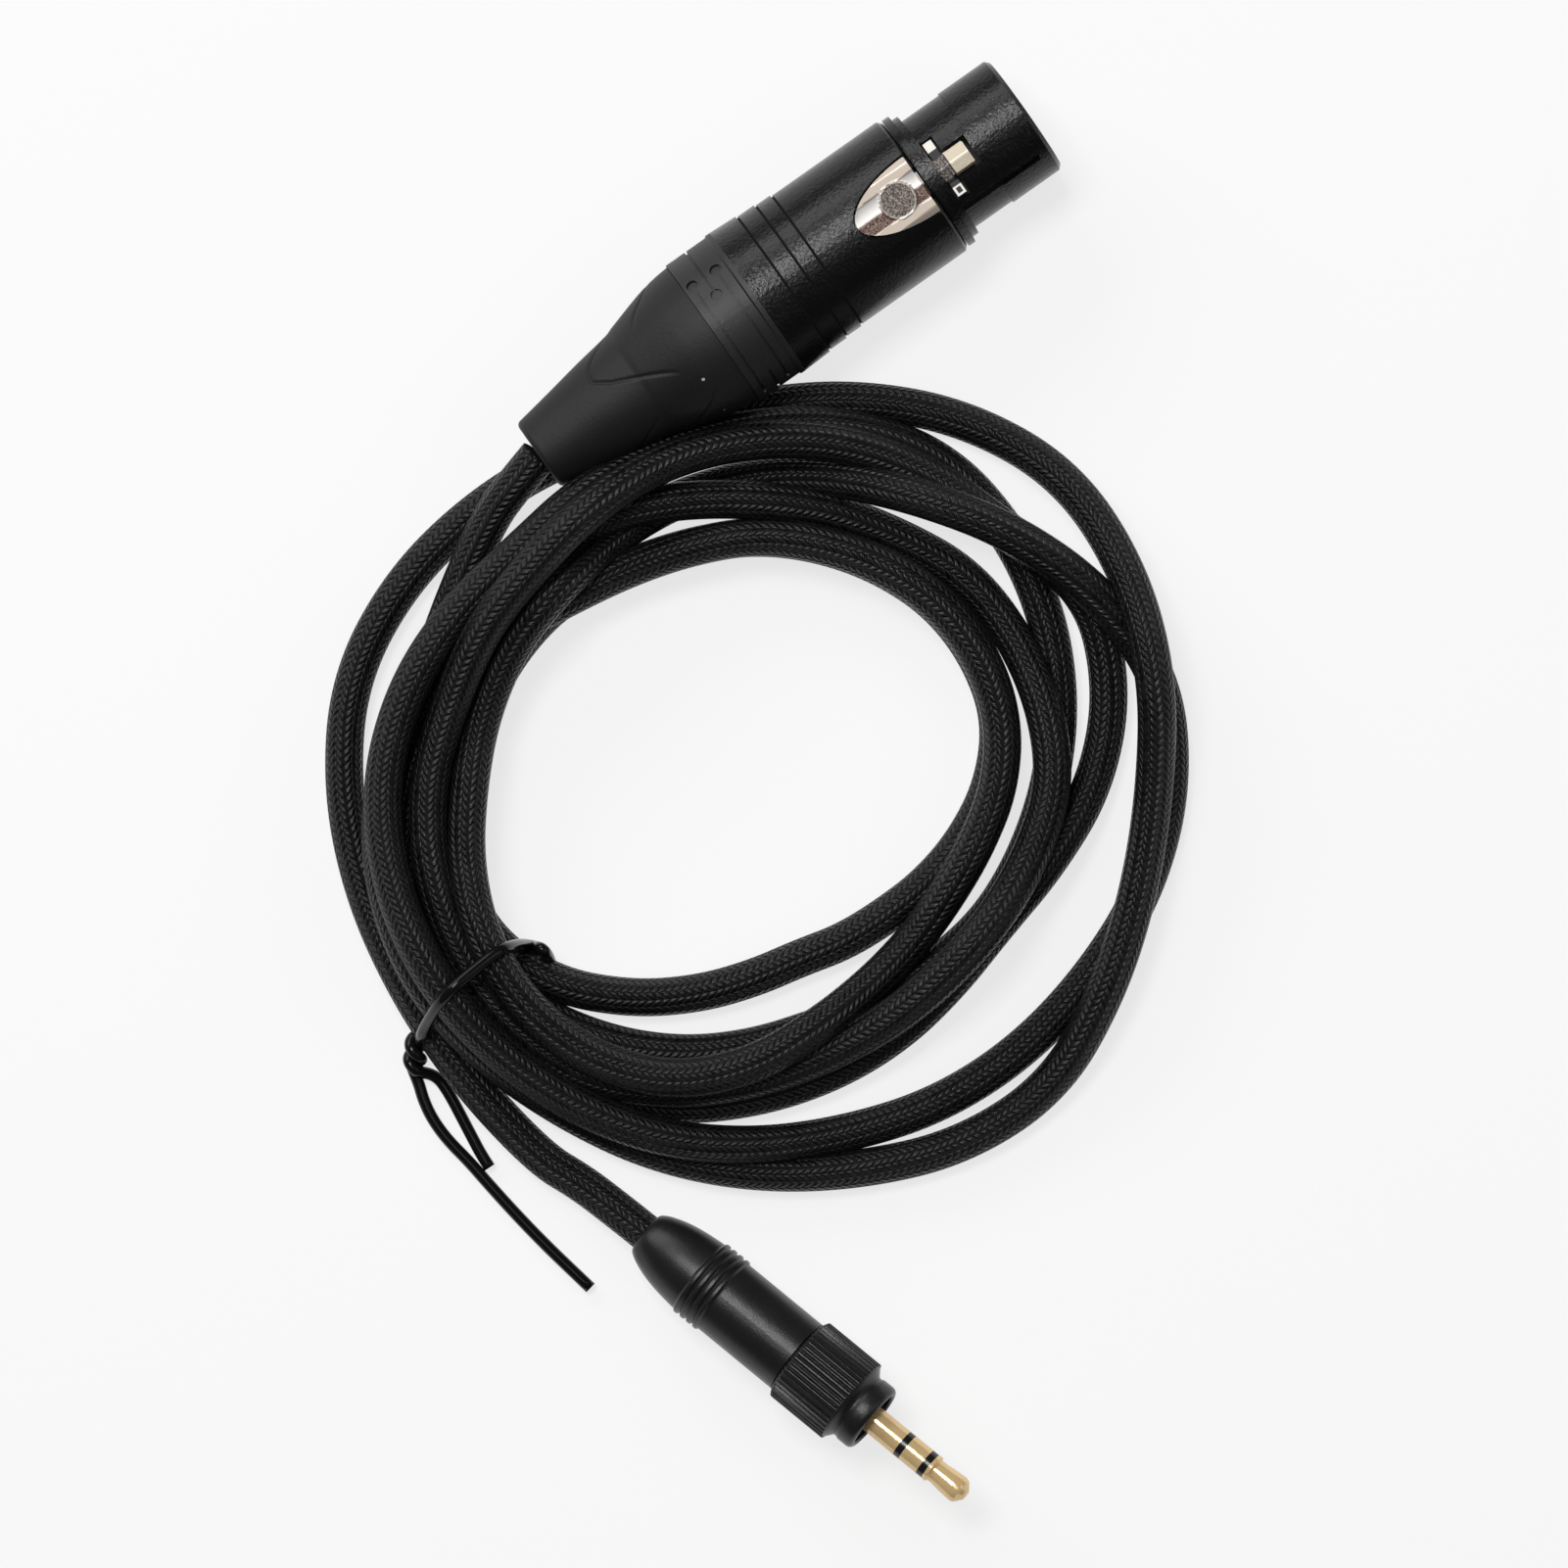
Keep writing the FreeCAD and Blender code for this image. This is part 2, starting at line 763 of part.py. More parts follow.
def make_ground_strip():
    """A springy strip between the insert and the barrel's wall."""
    nose_radius = barrel_bore_radius - insert_gap
    half = ground_strip_width / 2
    strip = block(
        (insert_step, insert_step + ground_strip_length),
        (-half, half),
        (-nose_radius - insert_gap, -nose_radius + ground_strip_thickness),
    )
    return on_axis(strip.common(rod(insert_step, barrel_front, barrel_bore_radius - ground_strip_gap)))


def make_collet():
    cone_front = collet_back + collet_cone_length
    outside = [
        (collet_back, 0),
        (collet_back, collet_tail_radius),
        (cone_front, collet_radius),
        (spigot_front + sleeve_gap, collet_radius),
        (spigot_front + sleeve_gap, collet_flange_radius),
        (collet_front, collet_flange_radius),
        (collet_front, 0),
    ]
    collet = turned(outside)
    collet = collet.cut(rod(collet_back, collet_front, cord_radius + cord_gap))
    cavity_back = collet_back + collet_grip_length
    collet = collet.cut(rod(cavity_back, collet_front, collet_cavity_radius))
    half = collet_slot_width / 2
    reach = collet_radius + overshoot
    slot = block((collet_back, cavity_back + overshoot), (-half, half), (-reach, reach))
    collet = collet.cut(slot)
    slot.rotate(Vector(0, 0, 0), Vector(1, 0, 0), 90)
    return on_axis(collet.cut(slot))


def make_cord_end_socket():
    return on_axis(rod(boot_back, jacket_end, cord_radius))


def make_lead(y, z):
    """One conductor from the end of the cord's jacket into its solder cup."""
    share = lead_spread / contact_circle_radius
    start = Vector(jacket_end + contact_gap * 4, y * share, z * share)
    cup_back = insert_back - contact_flange_length - cup_length
    end = Vector(cup_back + lead_seat, y, z)
    run = end - start
    return on_axis(Part.makeCylinder(lead_radius, run.Length, start, run))


def make_jack_tail():
    outline = [(0, 0), (0, tail_mouth_radius)]
    bullet_steps = 6
    for step in range(1, bullet_steps + 1):
        share = step / bullet_steps
        rise = math.sin(share * math.pi / 2) ** 0.8
        radius = tail_mouth_radius + (tail_radius - tail_mouth_radius) * rise
        outline.append((tail_bullet_length * share, radius))
    first_ridge = tail_length - ridge_count * ridge_pitch - ridge_inset
    for index in range(ridge_count):
        x = first_ridge + index * ridge_pitch
        outline.append((x, tail_radius))
        outline.append((x + ridge_flank, tail_radius + ridge_height))
        outline.append((x + ridge_pitch - ridge_flank, tail_radius + ridge_height))
        outline.append((x + ridge_pitch, tail_radius))
    outline.append((tail_length, tail_radius))
    outline.append((tail_length, tail_radius - tail_wall))
    outline.append((tail_length + tail_spigot_length, tail_radius - tail_wall))
    outline.append((tail_length + tail_spigot_length, 0))
    tail = turned(outline)
    bore = tail_radius - tail_wall - tail_spigot_wall
    tail = tail.cut(rod(tail_bullet_length, tail_length + tail_spigot_length, bore))
    return on_jack(tail.cut(rod(0, tail_bullet_length, cord_radius + tail_cord_gap)))


def make_jack_barrel():
    outline = [
        (grip_back, 0),
        (grip_back, grip_radius),
        (nut_back, grip_radius),
        (nut_back, stem_radius),
        (stem_front, stem_radius),
        (stem_front, 0),
    ]
    barrel = turned(outline)
    spigot_end = tail_length + tail_spigot_length
    barrel = barrel.cut(rod(grip_back, spigot_end + tail_end_gap, tail_radius - tail_wall))
    barrel = barrel.cut(rod(spigot_end, stem_front - stem_wall, stem_bore_radius))
    barrel = barrel.cut(rod(stem_front - stem_wall, stem_front, plug_boss_radius + plug_gap))
    seat_back = stem_front - clip_inset - clip_thickness - clip_gap
    seat_front = seat_back + clip_thickness + 2 * clip_gap
    seat = ring(seat_back, seat_front, stem_radius - clip_seat_depth, grip_radius)
    return on_jack(barrel.cut(seat))


def make_clip():
    """The open snap ring that keeps the locking nut on its stem."""
    back = stem_front - clip_inset - clip_thickness
    clip = ring(back, back + clip_thickness, stem_radius - clip_seat_depth, stem_radius + clip_proud)
    mouth_half = clip_mouth / 2
    mouth = block((back, back + clip_thickness), (-mouth_half, mouth_half), (0, grip_radius))
    return on_jack(clip.cut(mouth))


def make_locking_nut():
    back = nut_back + nut_end_gap
    outline = [
        (back, 0),
        (back, nut_radius - nut_chamfer),
        (back + nut_chamfer_length, nut_radius),
        (collar_back - nut_chamfer, nut_radius),
        (collar_back, nut_radius - nut_front_chamfer),
        (collar_back + collar_groove_start, nut_neck_radius),
        (collar_back + collar_groove_end, nut_neck_radius),
        (collar_back + collar_shoulder, collar_radius),
        (collar_front - collar_chamfer_length, collar_radius),
        (collar_front, collar_radius - collar_chamfer),
        (collar_front, 0),
    ]
    nut = turned(outline)
    nut = nut.cut(rod(back, stem_front + nut_end_gap, stem_radius + nut_running_gap))
    nut = nut.cut(rod(collar_back, collar_front, nut_thread_radius))
    seat_back = stem_front - clip_inset - clip_thickness - nut_end_gap
    seat_front = seat_back + clip_thickness + 2 * nut_end_gap
    seat_radius = stem_radius + clip_proud + clip_gap
    nut = nut.cut(rod(seat_back, seat_front, seat_radius))
    cutters = []
    for index in range(nut_rib_count):
        cutter = block(
            (back - overshoot, collar_back - nut_chamfer / 2),
            (-nut_rib_width / 2, nut_rib_width / 2),
            (nut_radius - nut_rib_depth, nut_radius + overshoot),
        )
        cutter.rotate(Vector(0, 0, 0), Vector(1, 0, 0), index * 360 / nut_rib_count)
        cutters.append(cutter)
    return on_jack(nut.cut(cutters))


def layer_radii(layer):
    """Give the inner and outer radius of a layer round the tip's rod, from 1."""
    inner = tip_rod_radius + layer_gap + (layer - 1) * (layer_wall + layer_gap)
    return inner, inner + layer_wall


def make_plug_tip():
    outline = [
        (tip_tag_back, 0),
        (tip_tag_back, tip_rod_radius),
        (tip_back, tip_rod_radius),
        (tip_back, plug_radius),
        (tip_back + tip_band_length, plug_radius),
        (tip_back + tip_neck_start, tip_neck_radius),
        (tip_back + tip_neck_end, tip_neck_radius),
        (tip_back + tip_cone_start, tip_cone_radius),
        (tip_back + tip_cone_bend, tip_bend_radius),
        (plug_tip - tip_blunting, tip_end_radius + tip_blunting),
        (plug_tip, tip_end_radius),
        (plug_tip, 0),
    ]
    return on_jack(turned(outline))


def make_layer(layer, back, head_back, head_front):
    """A tube of one layer with a full-width band as its head."""
    inner, outer = layer_radii(layer)
    piece = ring(back, head_front, inner, outer)
    return on_jack(piece.fuse(ring(head_back, head_front, inner, plug_radius)).removeSplitter())


def make_plug_sleeve():
    inner = layer_radii(3)[1] + layer_gap
    boss_front = stem_front + plug_boss_proud
    flange_radius = stem_bore_radius - plug_gap
    sleeve = ring(flange_back, rear_insulator_back, inner, plug_radius)
    sleeve = sleeve.fuse(ring(flange_back, boss_front, inner, plug_boss_radius))
    sleeve = sleeve.fuse(ring(flange_back, flange_back + plug_flange_length, inner, flange_radius))
    tag_low = -stem_bore_radius + tag_inset
    tag = block(
        (flange_back - tag_length, flange_back),
        (-tag_half_width, tag_half_width),
        (tag_low, tag_low + tag_thickness),
    )
    return on_jack(sleeve.fuse(tag).removeSplitter())


def make_ferrule():
    return on_jack(ring(ferrule_back, ferrule_front, cord_radius, cord_radius + ferrule_wall))


def make_cord_end_jack():
    return on_jack(rod(0, cord_stop, cord_radius))


def jack_lead_ends():
    """Where the leads stop: at the sleeve's tag, the tip's rod and beside the ring's tube."""
    tag_middle = -stem_bore_radius + tag_inset + tag_thickness / 2
    beside = layer_radii(2)[1] + lead_radius + lead_gap
    return [
        (ring_tag_back - lead_gap, 0.0, tag_middle),
        (tip_tag_back - lead_gap, 0.0, 0.0),
        (ring_tag_back + ring_lead_reach, beside, 0.0),
    ]


def make_jack_lead(start, end):
    """One conductor from the end of the cord's jacket to its tag."""
    foot = Vector(cord_stop + lead_gap, *start)
    run = Vector(*end) - foot
    return on_jack(Part.makeCylinder(lead_radius, run.Length, foot, run))


def coil_outline(distances):
    """Give a closed smooth curve round the coil's middle, as a wire."""
    points = []
    for index, distance in enumerate(distances):
        turn = math.radians(coil_first_angle + index * 360 / len(distances))
        points.append(coil_middle + Vector(math.cos(turn), math.sin(turn), 0) * distance)
    curve = Part.BSplineCurve()
    curve.interpolate(points, PeriodicFlag=True)
    return Part.Wire(curve.toShape())


def rounded_disc(distances, top, foot):
    """Fill a coil outline to the coil's height and round its two edges."""
    disc = Part.Face(coil_outline(distances)).extrude(Vector(0, 0, coil_height))
    upper = [edge for edge in disc.Edges if edge.BoundBox.ZMin > coil_height - 0.01]
    lower = [edge for edge in disc.Edges if edge.BoundBox.ZMax < 0.01]
    if top:
        disc = disc.makeFillet(top, upper)
    if foot:
        disc = disc.makeFillet(foot, lower)
    return disc


def socket_envelope():
    """The socket's outside with room round it, which the coil keeps clear of."""
    outline = boot_outline(soft_gap)[:-2]
    outline.append((bushing_back - soft_gap, rim_radius + soft_gap))
    outline.append((shoulder_back, rim_radius + soft_gap))
    outline.append((shoulder_back, 0))
    return on_axis(turned(outline))


def make_coil():
    coil = rounded_disc(coil_outer, coil_top_rounding, coil_foot_rounding)
    coil = coil.cut(rounded_disc(coil_inner, 0, 0))
    coil = coil.cut(socket_envelope())
    return coil.cut(make_tie(soft_gap))


def make_lead_in():
    mouth = (boot_back, 0, axis_height)
    return tube([mouth] + lead_in_route, cord_radius, "cord from the boot")


def make_tail():
    end = jack_place
    return tube(tail_route + [tuple(end)], cord_radius, "cord to the plug")


def make_tie(grow=0.0):
    """The tie, or the room for it when it is grown."""
    radius = tie_radius + grow
    start = Vector(*tie_twist_from)
    run = Vector(*tie_twist_to) - start
    twist = Part.makeCylinder(tie_twist_radius + grow, run.Length, start, run)
    loop = tube(tie_loop, radius, "tie round the coil", closed=True)
    one = tube(tie_end_one, radius, "short end of the tie")
    two = tube(tie_end_two, radius, "long end of the tie")
    return loop.fuse([twist, one, two])


def build():
    """Make every piece, by the name of its node."""
    places = contact_places()
    pieces = {
        "socket_housing": make_housing(),
        "socket_insert": make_insert(),
        "push_latch": make_latch(),
        "latch_pin": make_latch_pin(),
        "latch_spring": make_latch_spring(),
        "ground_strip": make_ground_strip(),
        "boot_bushing": make_bushing(),
        "rubber_boot": make_boot(),
        "cord_collet": make_collet(),
        "cord_end_in_socket": make_cord_end_socket(),
    }
    for number, (y, z) in enumerate(places, 1):
        pieces[f"socket_contact_{number}"] = make_contact(y, z)
        pieces[f"socket_lead_{number}"] = make_lead(y, z)
    pieces["jack_tail_cap"] = make_jack_tail()
    pieces["jack_barrel"] = make_jack_barrel()
    pieces["locking_nut"] = make_locking_nut()
    pieces["nut_snap_ring"] = make_clip()
    pieces["plug_sleeve"] = make_plug_sleeve()
    pieces["plug_rear_insulator"] = make_layer(3, flange_back - layer_step, rear_insulator_back, ring_back)
    pieces["plug_ring"] = make_layer(2, ring_tag_back, ring_back, front_insulator_back)
    pieces["plug_front_insulator"] = make_layer(
        1, ring_tag_back - layer_step, front_insulator_back, tip_back
    )
    pieces["plug_tip"] = make_plug_tip()
    pieces["jack_ferrule"] = make_ferrule()
    for number, (start, end) in enumerate(zip(jack_lead_starts, jack_lead_ends()), 1):
        pieces[f"jack_lead_{number}"] = make_jack_lead(start, end)
    pieces["cord_end_in_jack"] = make_cord_end_jack()
    pieces["cord_from_boot"] = make_lead_in()
    pieces["cord_coil"] = make_coil()
    pieces["cord_to_plug"] = make_tail()
    pieces["wire_tie"] = make_tie()
    return pieces


os.makedirs("parts", exist_ok=True)
for node, shape in build().items():
    if not shape.isValid():
        raise ValueError(f"{node} is not a valid solid")
    solids = shape.Solids
    print(f"{node}: {len(solids)} solid, {shape.Volume:.1f} mm3")
    if len(solids) == 1:
        shape = solids[0]
    shape.exportStep(f"parts/{node}.step")
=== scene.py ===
import math
import bpy
import bmesh
import numpy as np
from mathutils import Matrix, Vector
from mathutils.bvhtree import BVHTree


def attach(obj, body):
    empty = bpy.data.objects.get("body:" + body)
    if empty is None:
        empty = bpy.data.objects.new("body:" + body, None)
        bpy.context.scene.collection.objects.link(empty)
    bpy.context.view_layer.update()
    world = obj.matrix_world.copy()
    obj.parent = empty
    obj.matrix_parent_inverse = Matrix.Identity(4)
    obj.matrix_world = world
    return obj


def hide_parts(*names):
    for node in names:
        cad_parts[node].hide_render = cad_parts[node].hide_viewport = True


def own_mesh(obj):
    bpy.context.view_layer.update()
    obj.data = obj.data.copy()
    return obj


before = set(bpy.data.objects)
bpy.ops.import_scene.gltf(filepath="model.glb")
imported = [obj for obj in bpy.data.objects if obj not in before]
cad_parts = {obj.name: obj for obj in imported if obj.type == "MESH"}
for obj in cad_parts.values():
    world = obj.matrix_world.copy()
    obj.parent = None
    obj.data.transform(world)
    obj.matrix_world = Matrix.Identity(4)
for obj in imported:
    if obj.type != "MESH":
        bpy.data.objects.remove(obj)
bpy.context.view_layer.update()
mm = 0.001
weld = 0.000002  # points nearer than this are one
sensorWidth = 36
photoWidth = 1601  # pixels, and as many high
print("frame loaded,", len(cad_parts), "nodes")


# Camera, floor and lamps
studio = {
    "lookAt": (-0.03458, -0.04961),
    "cameraHeight": 1.61,
    "lens": 303.3,
    "turn": -35.14,  # degrees, so the socket points up to the right
    "floorSize": 3.0,
    "floorColour": (0.95, 0.95, 0.95, 1),
    "floorWhite": 0.74,  # share of plain white that the camera sees in the floor
    "worldLight": 0.10,
    "lamps": {  # place, size and power
        "highSoftbox": ((-0.05, 0.50, 1.50), (0.56, 0.40), 12.6),
        "lowSoftbox": ((-0.05, 0.60, 0.40), (0.70, 0.30), 2.4),
        "fillSoftbox": ((0.45, -0.40, 0.60), (0.50, 0.50), 0.7),
        "ceilingPanel": ((-0.03, -0.05, 2.00), (0.60, 0.60), 2.2),
    },
}


def addNode(tree, kind, **settings):
    node = tree.nodes.new(kind)
    for key, value in settings.items():
        setattr(node, key, value)
    return node


def feed(tree, socket, value):
    if isinstance(value, bpy.types.NodeSocket):
        tree.links.new(value, socket)
    else:
        socket.default_value = value


def mathNode(tree, operation, *values, clamp=False):
    node = addNode(tree, "ShaderNodeMath", operation=operation, use_clamp=clamp)
    for socket, value in zip(node.inputs, values):
        feed(tree, socket, value)
    return node.outputs[0]


def aimedAt(place, target):
    return (Vector(target) - Vector(place)).to_track_quat("-Z", "Y").to_euler()


def addLamp(name, place, size, power):
    lamp = bpy.data.lights.new(name, "AREA")
    lamp.shape = "RECTANGLE"
    lamp.size, lamp.size_y = size
    lamp.energy = power
    lampObject = bpy.data.objects.new(name, lamp)
    lampObject.location = place
    lampObject.rotation_euler = aimedAt(place, (*studio["lookAt"], 0))
    bpy.context.scene.collection.objects.link(lampObject)


def whiteForCamera(tree, lit, strength):
    path = addNode(tree, "ShaderNodeLightPath")
    seen = mathNode(tree, "MAXIMUM", path.outputs["Is Camera Ray"], path.outputs["Is Glossy Ray"])
    seen = mathNode(tree, "MAXIMUM", seen, path.outputs["Is Transmission Ray"])
    white = addNode(tree, "ShaderNodeEmission")
    mix = addNode(tree, "ShaderNodeMixShader")
    feed(tree, mix.inputs[0], mathNode(tree, "MULTIPLY", seen, strength))
    feed(tree, mix.inputs[1], lit)
    feed(tree, mix.inputs[2], white.outputs[0])
    return mix.outputs[0]


def makeStudio(s):
    scene = bpy.context.scene
    scene.view_settings.view_transform = "Standard"
    camera = bpy.data.cameras.new("topCamera")
    camera.lens = s["lens"]
    camera.sensor_width = sensorWidth
    camera.clip_start, camera.clip_end = 0.1, 20
    cameraObject = bpy.data.objects.new("topCamera", camera)
    cameraObject.location = (*s["lookAt"], s["cameraHeight"])
    cameraObject.rotation_euler = (0, 0, math.radians(s["turn"]))
    scene.collection.objects.link(cameraObject)
    scene.camera = cameraObject

    half = s["floorSize"] / 2
    mesh = bpy.data.meshes.new("paleFloor")
    corners = [(-half, -half, 0), (half, -half, 0), (half, half, 0), (-half, half, 0)]
    mesh.from_pydata(corners, [], [(0, 1, 2, 3)])
    floor = bpy.data.objects.new("paleFloor", mesh)
    scene.collection.objects.link(floor)
    floorPaint = bpy.data.materials.new("floorPaint")
    floorPaint.use_nodes = True
    tree = floorPaint.node_tree
    tree.nodes.clear()
    matt = addNode(tree, "ShaderNodeBsdfDiffuse")
    matt.inputs["Color"].default_value = s["floorColour"]
    out = addNode(tree, "ShaderNodeOutputMaterial")
    feed(tree, out.inputs["Surface"], whiteForCamera(tree, matt.outputs[0], s["floorWhite"]))
    mesh.materials.append(floorPaint)

    world = bpy.data.worlds.new("softRoom")
    scene.world = world
    world.use_nodes = True
    tree = world.node_tree
    tree.nodes.clear()
    room = addNode(tree, "ShaderNodeBackground")
    room.inputs["Strength"].default_value = s["worldLight"]
    bright = addNode(tree, "ShaderNodeBackground")
    path = addNode(tree, "ShaderNodeLightPath")
    mix = addNode(tree, "ShaderNodeMixShader")
    feed(tree, mix.inputs[0], path.outputs["Is Camera Ray"])
    feed(tree, mix.inputs[1], room.outputs[0])
    feed(tree, mix.inputs[2], bright.outputs[0])
    out = addNode(tree, "ShaderNodeOutputWorld")
    feed(tree, out.inputs["Surface"], mix.outputs[0])
    for name, (place, size, power) in s["lamps"].items():
        addLamp(name, place, size, power)


def atPixel(across, down, height):
    # The point at this height that the photograph shows at one of its pixels
    s = studio
    middle = photoWidth / 2
    step = (s["cameraHeight"] - height) * sensorWidth / s["lens"] / photoWidth
    offset = Vector(((across - middle) * step, (middle - down) * step))
    offset = Matrix.Rotation(math.radians(s["turn"]), 2) @ offset
    return Vector((s["lookAt"][0] + offset.x, s["lookAt"][1] + offset.y, height))


makeStudio(studio)
print("studio set up")


groupSizes = {
    "filamentWave": 31.416,  # five filaments to a bead
    "filamentRelief": 0.07,
    "roundness": 0.5,
    "grainDetail": 3,
    "cloudShare": 0.06,  # of the fine grain's scale
    "lintShare": 0.9,  # cells below this have none
}


def startGroup(name, inputs, outputs):
    tree = bpy.data.node_groups.new(name, "ShaderNodeTree")
    for label, kind, value in inputs:
        socket = tree.interface.new_socket(label, in_out="INPUT", socket_type="NodeSocket" + kind)
        if value is not None:
            socket.default_value = value
    for label, kind in outputs:
        tree.interface.new_socket(label, in_out="OUTPUT", socket_type="NodeSocket" + kind)
    return tree, addNode(tree, "NodeGroupInput").outputs, addNode(tree, "NodeGroupOutput").inputs


def makeBraidWeave():
    tree, given, result = startGroup(
        "braidWeave",
        [
            ("Along", "Float", 0), ("Around", "Float", 0), ("Columns", "Float", 16),
            ("Pitch", "Float", 0.001), ("Slant", "Float", 0.8), ("Twist", "Float", 3),
        ],
        [("Height", "Float"), ("Tone", "Float"), ("Bead", "Float")],
    )
    turned = mathNode(tree, "MULTIPLY_ADD", given["Along"], given["Twist"], given["Around"])
    column = mathNode(tree, "MULTIPLY", turned, given["Columns"])
    whole = mathNode(tree, "FLOOR", column)
    across = mathNode(tree, "SUBTRACT", column, whole)
    odd = mathNode(tree, "FLOORED_MODULO", whole, 2.0)
    side = mathNode(tree, "MULTIPLY_ADD", odd, -2.0, 1.0)
    slope = mathNode(tree, "MULTIPLY", side, given["Slant"])
    lean = mathNode(tree, "MULTIPLY", mathNode(tree, "SUBTRACT", across, 0.5), slope)
    steps = mathNode(tree, "DIVIDE", given["Along"], given["Pitch"])
    place = mathNode(tree, "ADD", mathNode(tree, "ADD", steps, lean), mathNode(tree, "MULTIPLY", odd, 0.5))
    bead = mathNode(tree, "FLOOR", place)
    through = mathNode(tree, "SUBTRACT", place, bead)

    def dome(value):
        centred = mathNode(tree, "MULTIPLY_ADD", value, 2.0, -1.0)
        return mathNode(tree, "SUBTRACT", 1.0, mathNode(tree, "MULTIPLY", centred, centred))

    wide = mathNode(tree, "POWER", mathNode(tree, "MAXIMUM", dome(across), 0.0), groupSizes["roundness"])
    mound = mathNode(tree, "MULTIPLY", wide, mathNode(tree, "MAXIMUM", dome(through), 0.0), clamp=True)
    filament = mathNode(tree, "SINE", mathNode(tree, "MULTIPLY", place, groupSizes["filamentWave"]))
    relief = mathNode(tree, "MULTIPLY", mound, groupSizes["filamentRelief"])
    height = mathNode(tree, "MULTIPLY_ADD", filament, relief, mound)
    cell = addNode(tree, "ShaderNodeCombineXYZ")
    feed(tree, cell.inputs[0], mathNode(tree, "FLOORED_MODULO", whole, given["Columns"]))
    feed(tree, cell.inputs[1], bead)
    chance = addNode(tree, "ShaderNodeTexWhiteNoise", noise_dimensions="2D")
    feed(tree, chance.inputs["Vector"], cell.outputs[0])
    feed(tree, result["Height"], height)
    feed(tree, result["Tone"], chance.outputs["Value"])
    feed(tree, result["Bead"], mound)
    return tree


def makeFineGrain():
    tree, given, result = startGroup(
        "fineGrain",
        [("Vector", "Vector", None), ("Scale", "Float", 3000), ("Roughness", "Float", 0.6)],
        [("Height", "Float"), ("Cloud", "Float")],
    )
    fine = addNode(tree, "ShaderNodeTexNoise")
    fine.inputs["Detail"].default_value = groupSizes["grainDetail"]
    feed(tree, fine.inputs["Vector"], given["Vector"])
    feed(tree, fine.inputs["Scale"], given["Scale"])
    feed(tree, fine.inputs["Roughness"], given["Roughness"])
    cloud = addNode(tree, "ShaderNodeTexNoise")
    feed(tree, cloud.inputs["Vector"], given["Vector"])
    feed(tree, cloud.inputs["Scale"], mathNode(tree, "MULTIPLY", given["Scale"], groupSizes["cloudShare"]))
    feed(tree, result["Height"], fine.outputs[0])
    feed(tree, result["Cloud"], cloud.outputs[0])
    return tree


def makeLintSpecks():
    tree, given, result = startGroup(
        "lintSpecks",
        [("Vector", "Vector", None), ("Scale", "Float", 900), ("Size", "Float", 0.12)],
        [("Mask", "Float")],
    )
    cells = addNode(tree, "ShaderNodeTexVoronoi")
    feed(tree, cells.inputs["Vector"], given["Vector"])
    feed(tree, cells.inputs["Scale"], given["Scale"])
    spot = mathNode(tree, "LESS_THAN", cells.outputs["Distance"], given["Size"])
    picked = addNode(tree, "ShaderNodeSeparateColor")
    feed(tree, picked.inputs[0], cells.outputs["Color"])
    rare = mathNode(tree, "GREATER_THAN", picked.outputs[0], groupSizes["lintShare"])
    feed(tree, result["Mask"], mathNode(tree, "MULTIPLY", spot, rare))
    return tree


braidWeave = makeBraidWeave()
fineGrain = makeFineGrain()
lintSpecks = makeLintSpecks()


def placeGroup(tree, group, **values):
    node = addNode(tree, "ShaderNodeGroup", node_tree=group)
    for label, value in values.items():
        feed(tree, node.inputs[label], value)
    return node.outputs


def startMaterial(name, **settings):
    material = bpy.data.materials.new(name)
    material.use_nodes = True
    tree = material.node_tree
    shader = tree.nodes["Principled BSDF"]
    for label, value in settings.items():
        shader.inputs[label.replace("_", " ")].default_value = value
    place = addNode(tree, "ShaderNodeTexCoord").outputs["Object"]
    return material, tree, shader, place


def scaled(tree, value, low, high):
    node = addNode(tree, "ShaderNodeMapRange")
    feed(tree, node.inputs["Value"], value)
    node.inputs["To Min"].default_value = low
    node.inputs["To Max"].default_value = high
    return node.outputs["Result"]


def smoothStep(tree, value, low, high):
    node = addNode(tree, "ShaderNodeMapRange", interpolation_type="SMOOTHSTEP")
    feed(tree, node.inputs["Value"], value)
    node.inputs["From Min"].default_value = low
    node.inputs["From Max"].default_value = high
    return node.outputs["Result"]


def between(tree, factor, first, second):
    node = addNode(tree, "ShaderNodeMix", data_type="RGBA")
    feed(tree, node.inputs["Factor"], factor)
    for socket, value in ((node.inputs[6], first), (node.inputs[7], second)):
        feed(tree, socket, value)
    return node.outputs[2]


def bumped(tree, shader, height, depth):
    node = addNode(tree, "ShaderNodeBump")
    node.inputs["Strength"].default_value = 1.0
    node.inputs["Distance"].default_value = depth
    feed(tree, node.inputs["Height"], height)
    feed(tree, shader.inputs["Normal"], node.outputs[0])


def grey(value):
    return (value, value, value, 1.0)


# The cord
cordSizes = {
    "radius": 0.00236,  # with its fuzz
    "middle": (-0.0377, -0.0477),
    "firstAngle": 99.86,  # degrees, of the first column below
    "columnStep": 15.0,
    "tightening": 1.0087,  # the spline runs this much inside its control points
    "pressedAcross": 3.9,  # strands settle into each other a little
    "pressedUp": 4.2,
    "floorHeight": 2.37,
    "longestDip": 1.6,  # how far a strand sags between its neighbouring points
    "tieColumns": (5, 6),  # the tie's wire passes under the bundle here
    "tieLift": 1.3,
    "settleRounds": 90,
    "settleShare": 0.6,
    "ownWeight": 0.75,  # of a control point in the spline's own point beside it
    "nextWeight": 0.125,
    "sides": 16,
    "pointsPerSpan": 13,
    "exit": (-0.036, 0.0, 0.01015),
}
